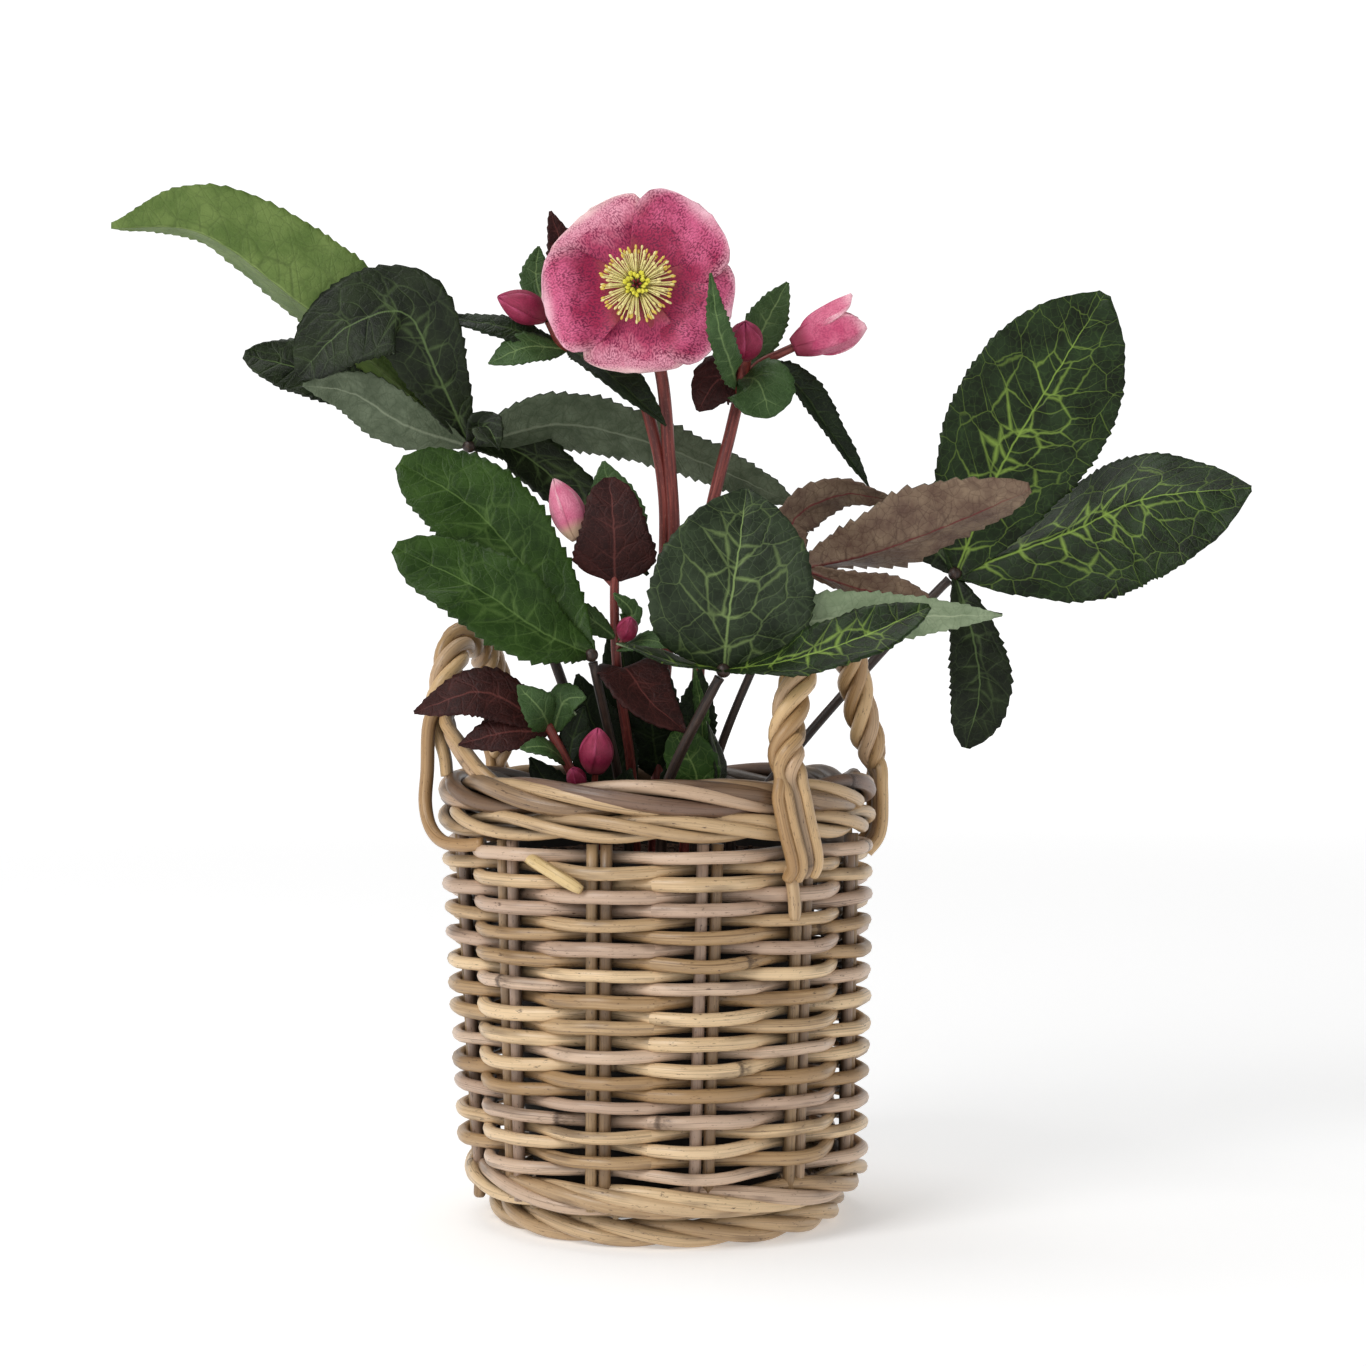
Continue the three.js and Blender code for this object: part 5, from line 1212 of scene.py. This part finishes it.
for number in range(FILAMENTS):
    out = flower_way(number * NEXT_TURN + stamen_draw.uniform(-0.1, 0.1))
    reach = stamen_draw.uniform(12.4, 15.3) if number % 4 else stamen_draw.uniform(9.0, 12.0)
    forward = stamen_draw.uniform(2.6, 4.6) if number % 4 else stamen_draw.uniform(4.4, 6.0)
    root = HEART + out * stamen_draw.uniform(2.6, 4.2)
    knee = HEART + out * reach * 0.55 + [0, -forward * 0.85, 0]
    head = HEART + out * reach + [0, -forward, 0]
    line = smooth_way([root, knee, head], 9)
    stamen_parts.append(rod(f"filament_{number}", line, np.linspace(0.34, 0.26, 9), cream, sides=5))
    stamen_parts.append(grain(head, line[-1] - line[-2], 1.0, 0.55, gold if number % 2 else cream))
for number in range(NECTARIES):
    out = flower_way(number * NEXT_TURN)
    reach = 2.9 + 1.7 * (number % 3) / 2
    head = HEART + out * reach + [0, -4.4 - 0.7 * (number % 2), 0]
    stamen_parts.append(grain(head, (out[0], -1.0, out[2]), 1.3, 0.75, lemon))
for number in range(STYLES):
    out = flower_way(0.4 + number * 1.2566)
    line = smooth_way([HEART + out * 0.7, HEART + out * 0.9 + [0, -3.5, 0], HEART + out * 1.7 + [0, -6.2, 0]], 9)
    stamen_parts.append(rod(f"style_{number}", line, 0.42, crimson, sides=6))
join("stamen_brush", stamen_parts, "flower_stamens")


# ---------------------------------------------------------------- buds
# Closed buds are five thin sepals furled round each other at the end of a stem or side shoot, deep rose where
# the light has reached them and paler below. The opening bud lets three sepals stand away from its heart.
SEPALS = 5
FURL = 0.9


def furled(name, base, tip, radius, material):
    """Sepals that wrap half round each other and turn by FURL radians from their foot to their tip."""
    base, tip = np.array(base, float), np.array(tip, float)
    axis = tip - base
    along = unit(axis)
    aside = unit(np.cross(along, [0.0, 0.9, 0.4]))
    above = np.cross(along, aside)
    made = []
    # A sepal is drawn in at its foot and its tip, and one edge lies over the next sepal while the other is tucked in.
    for sepal in range(SEPALS):
        sheet, u, v = new_sheet(f"{name}_{sepal}", 18, 22)
        span = 2 * u - 1
        shape = np.sin(np.pi * (0.12 + 0.8 * v) ** 0.95) ** 0.8 * (1 + 0.03 * span) * np.sqrt(1 - 0.97 * v ** 7)
        narrow = 1.25 * (1 - 0.55 * v ** 2)
        angle = 2 * np.pi * sepal / SEPALS + FURL * v + narrow * span
        girth = radius * np.maximum(shape, 0.03) * (0.965 + 0.03 * span + 0.012 * np.cos(span * 3))
        reach = v - 0.05 * span ** 2 * v
        places = (base + axis * reach[:, None] + girth[:, None]
                  * (np.cos(angle)[:, None] * aside + np.sin(angle)[:, None] * above))
        lay(sheet, places)
        map_sheet(sheet, span * radius, v * np.linalg.norm(axis), span, v)
        sheet.data.materials.append(material)
        thicken(sheet, 0.4, offset=-1)
        made.append(sheet)
    made.append(knob(f"{name}_core", base + axis * 0.42, radius * 0.8, material))
    return made


dark_rose = sepal_skin("dark_rose_bud", "7A1836", "A83458", "C05078", "5A1028", heart="8A3A48", speckle=0.4)
soft_rose = sepal_skin("soft_rose_bud", "C85E80", "DC8CA2", "F0C4CC", "A83C64", heart="C8B890", speckle=0.4)
opening_rose = sepal_skin("opening_rose_bud", "C2466F", "DE7C98", "F4C2CC", "9A2C54", heart="7E2C3A", speckle=0.5)
for label, node, base, tip, radius, material in (
    ("top_left", "left_top_bud", (-46.3, -1.7, 375.9), (-66.3, -9.7, 382.9), 7, dark_rose),
    ("round", "round_bud", (37, -6, 358.8), (36.5, -21, 371), 7.4, dark_rose),
    ("middle", "middle_bud", (-31.1, -29.6, 281.5), (-42, -30, 306), 7.2, soft_rose),
    ("small", "small_bud", (-12.8, -38.4, 240.9), (-10, -48, 249), 4.4, dark_rose),
    ("low", "low_bud", (-24.4, -48.4, 187), (-23, -54, 205), 7, dark_rose),
    ("lowest", "lowest_bud", (-30.9, -44.7, 180.7), (-33, -55, 189), 4, dark_rose),
):
    join(f"{label}_sepals", furled(label, base, tip, radius, material), node)

# The opening bud is a furled one with three loose sepals round it. Of each it says how far it is turned round
# the bud, in radians, and how far its tip stands away.
bud_base, bud_tip = np.array([57, 0, 362.8]), np.array([84.4, -2, 375.0])
bud_along = unit(bud_tip - bud_base)
bud_up = unit(np.array([0, 0, 1.0]) - bud_along * bud_along[2])
bud_side = np.cross(bud_along, bud_up)
opening_parts = furled("opening", bud_base, bud_tip, 8, opening_rose)
for number, (turn, flare) in enumerate(((0.2, 10.5), (2.3, 8.5), (4.4, 9.5))):
    out = bud_up * math.cos(turn) + bud_side * math.sin(turn)
    path = [bud_base + (bud_tip - bud_base) * share + out * reach
            for share, reach in ((0.04, 1), (0.3, 8.4), (0.7, 10.6), (1.04, flare))]
    opening_parts.append(blade(f"opening_sepal_{number}", path, 10.7, tuple(out), (opening_rose, opening_rose),
                               fold=-28, outline="sepal", tooth=0, step=0.9, across=10, vein_sink=0.0, cup=-0.15))
join("opening_sepals", opening_parts, "opening_bud")
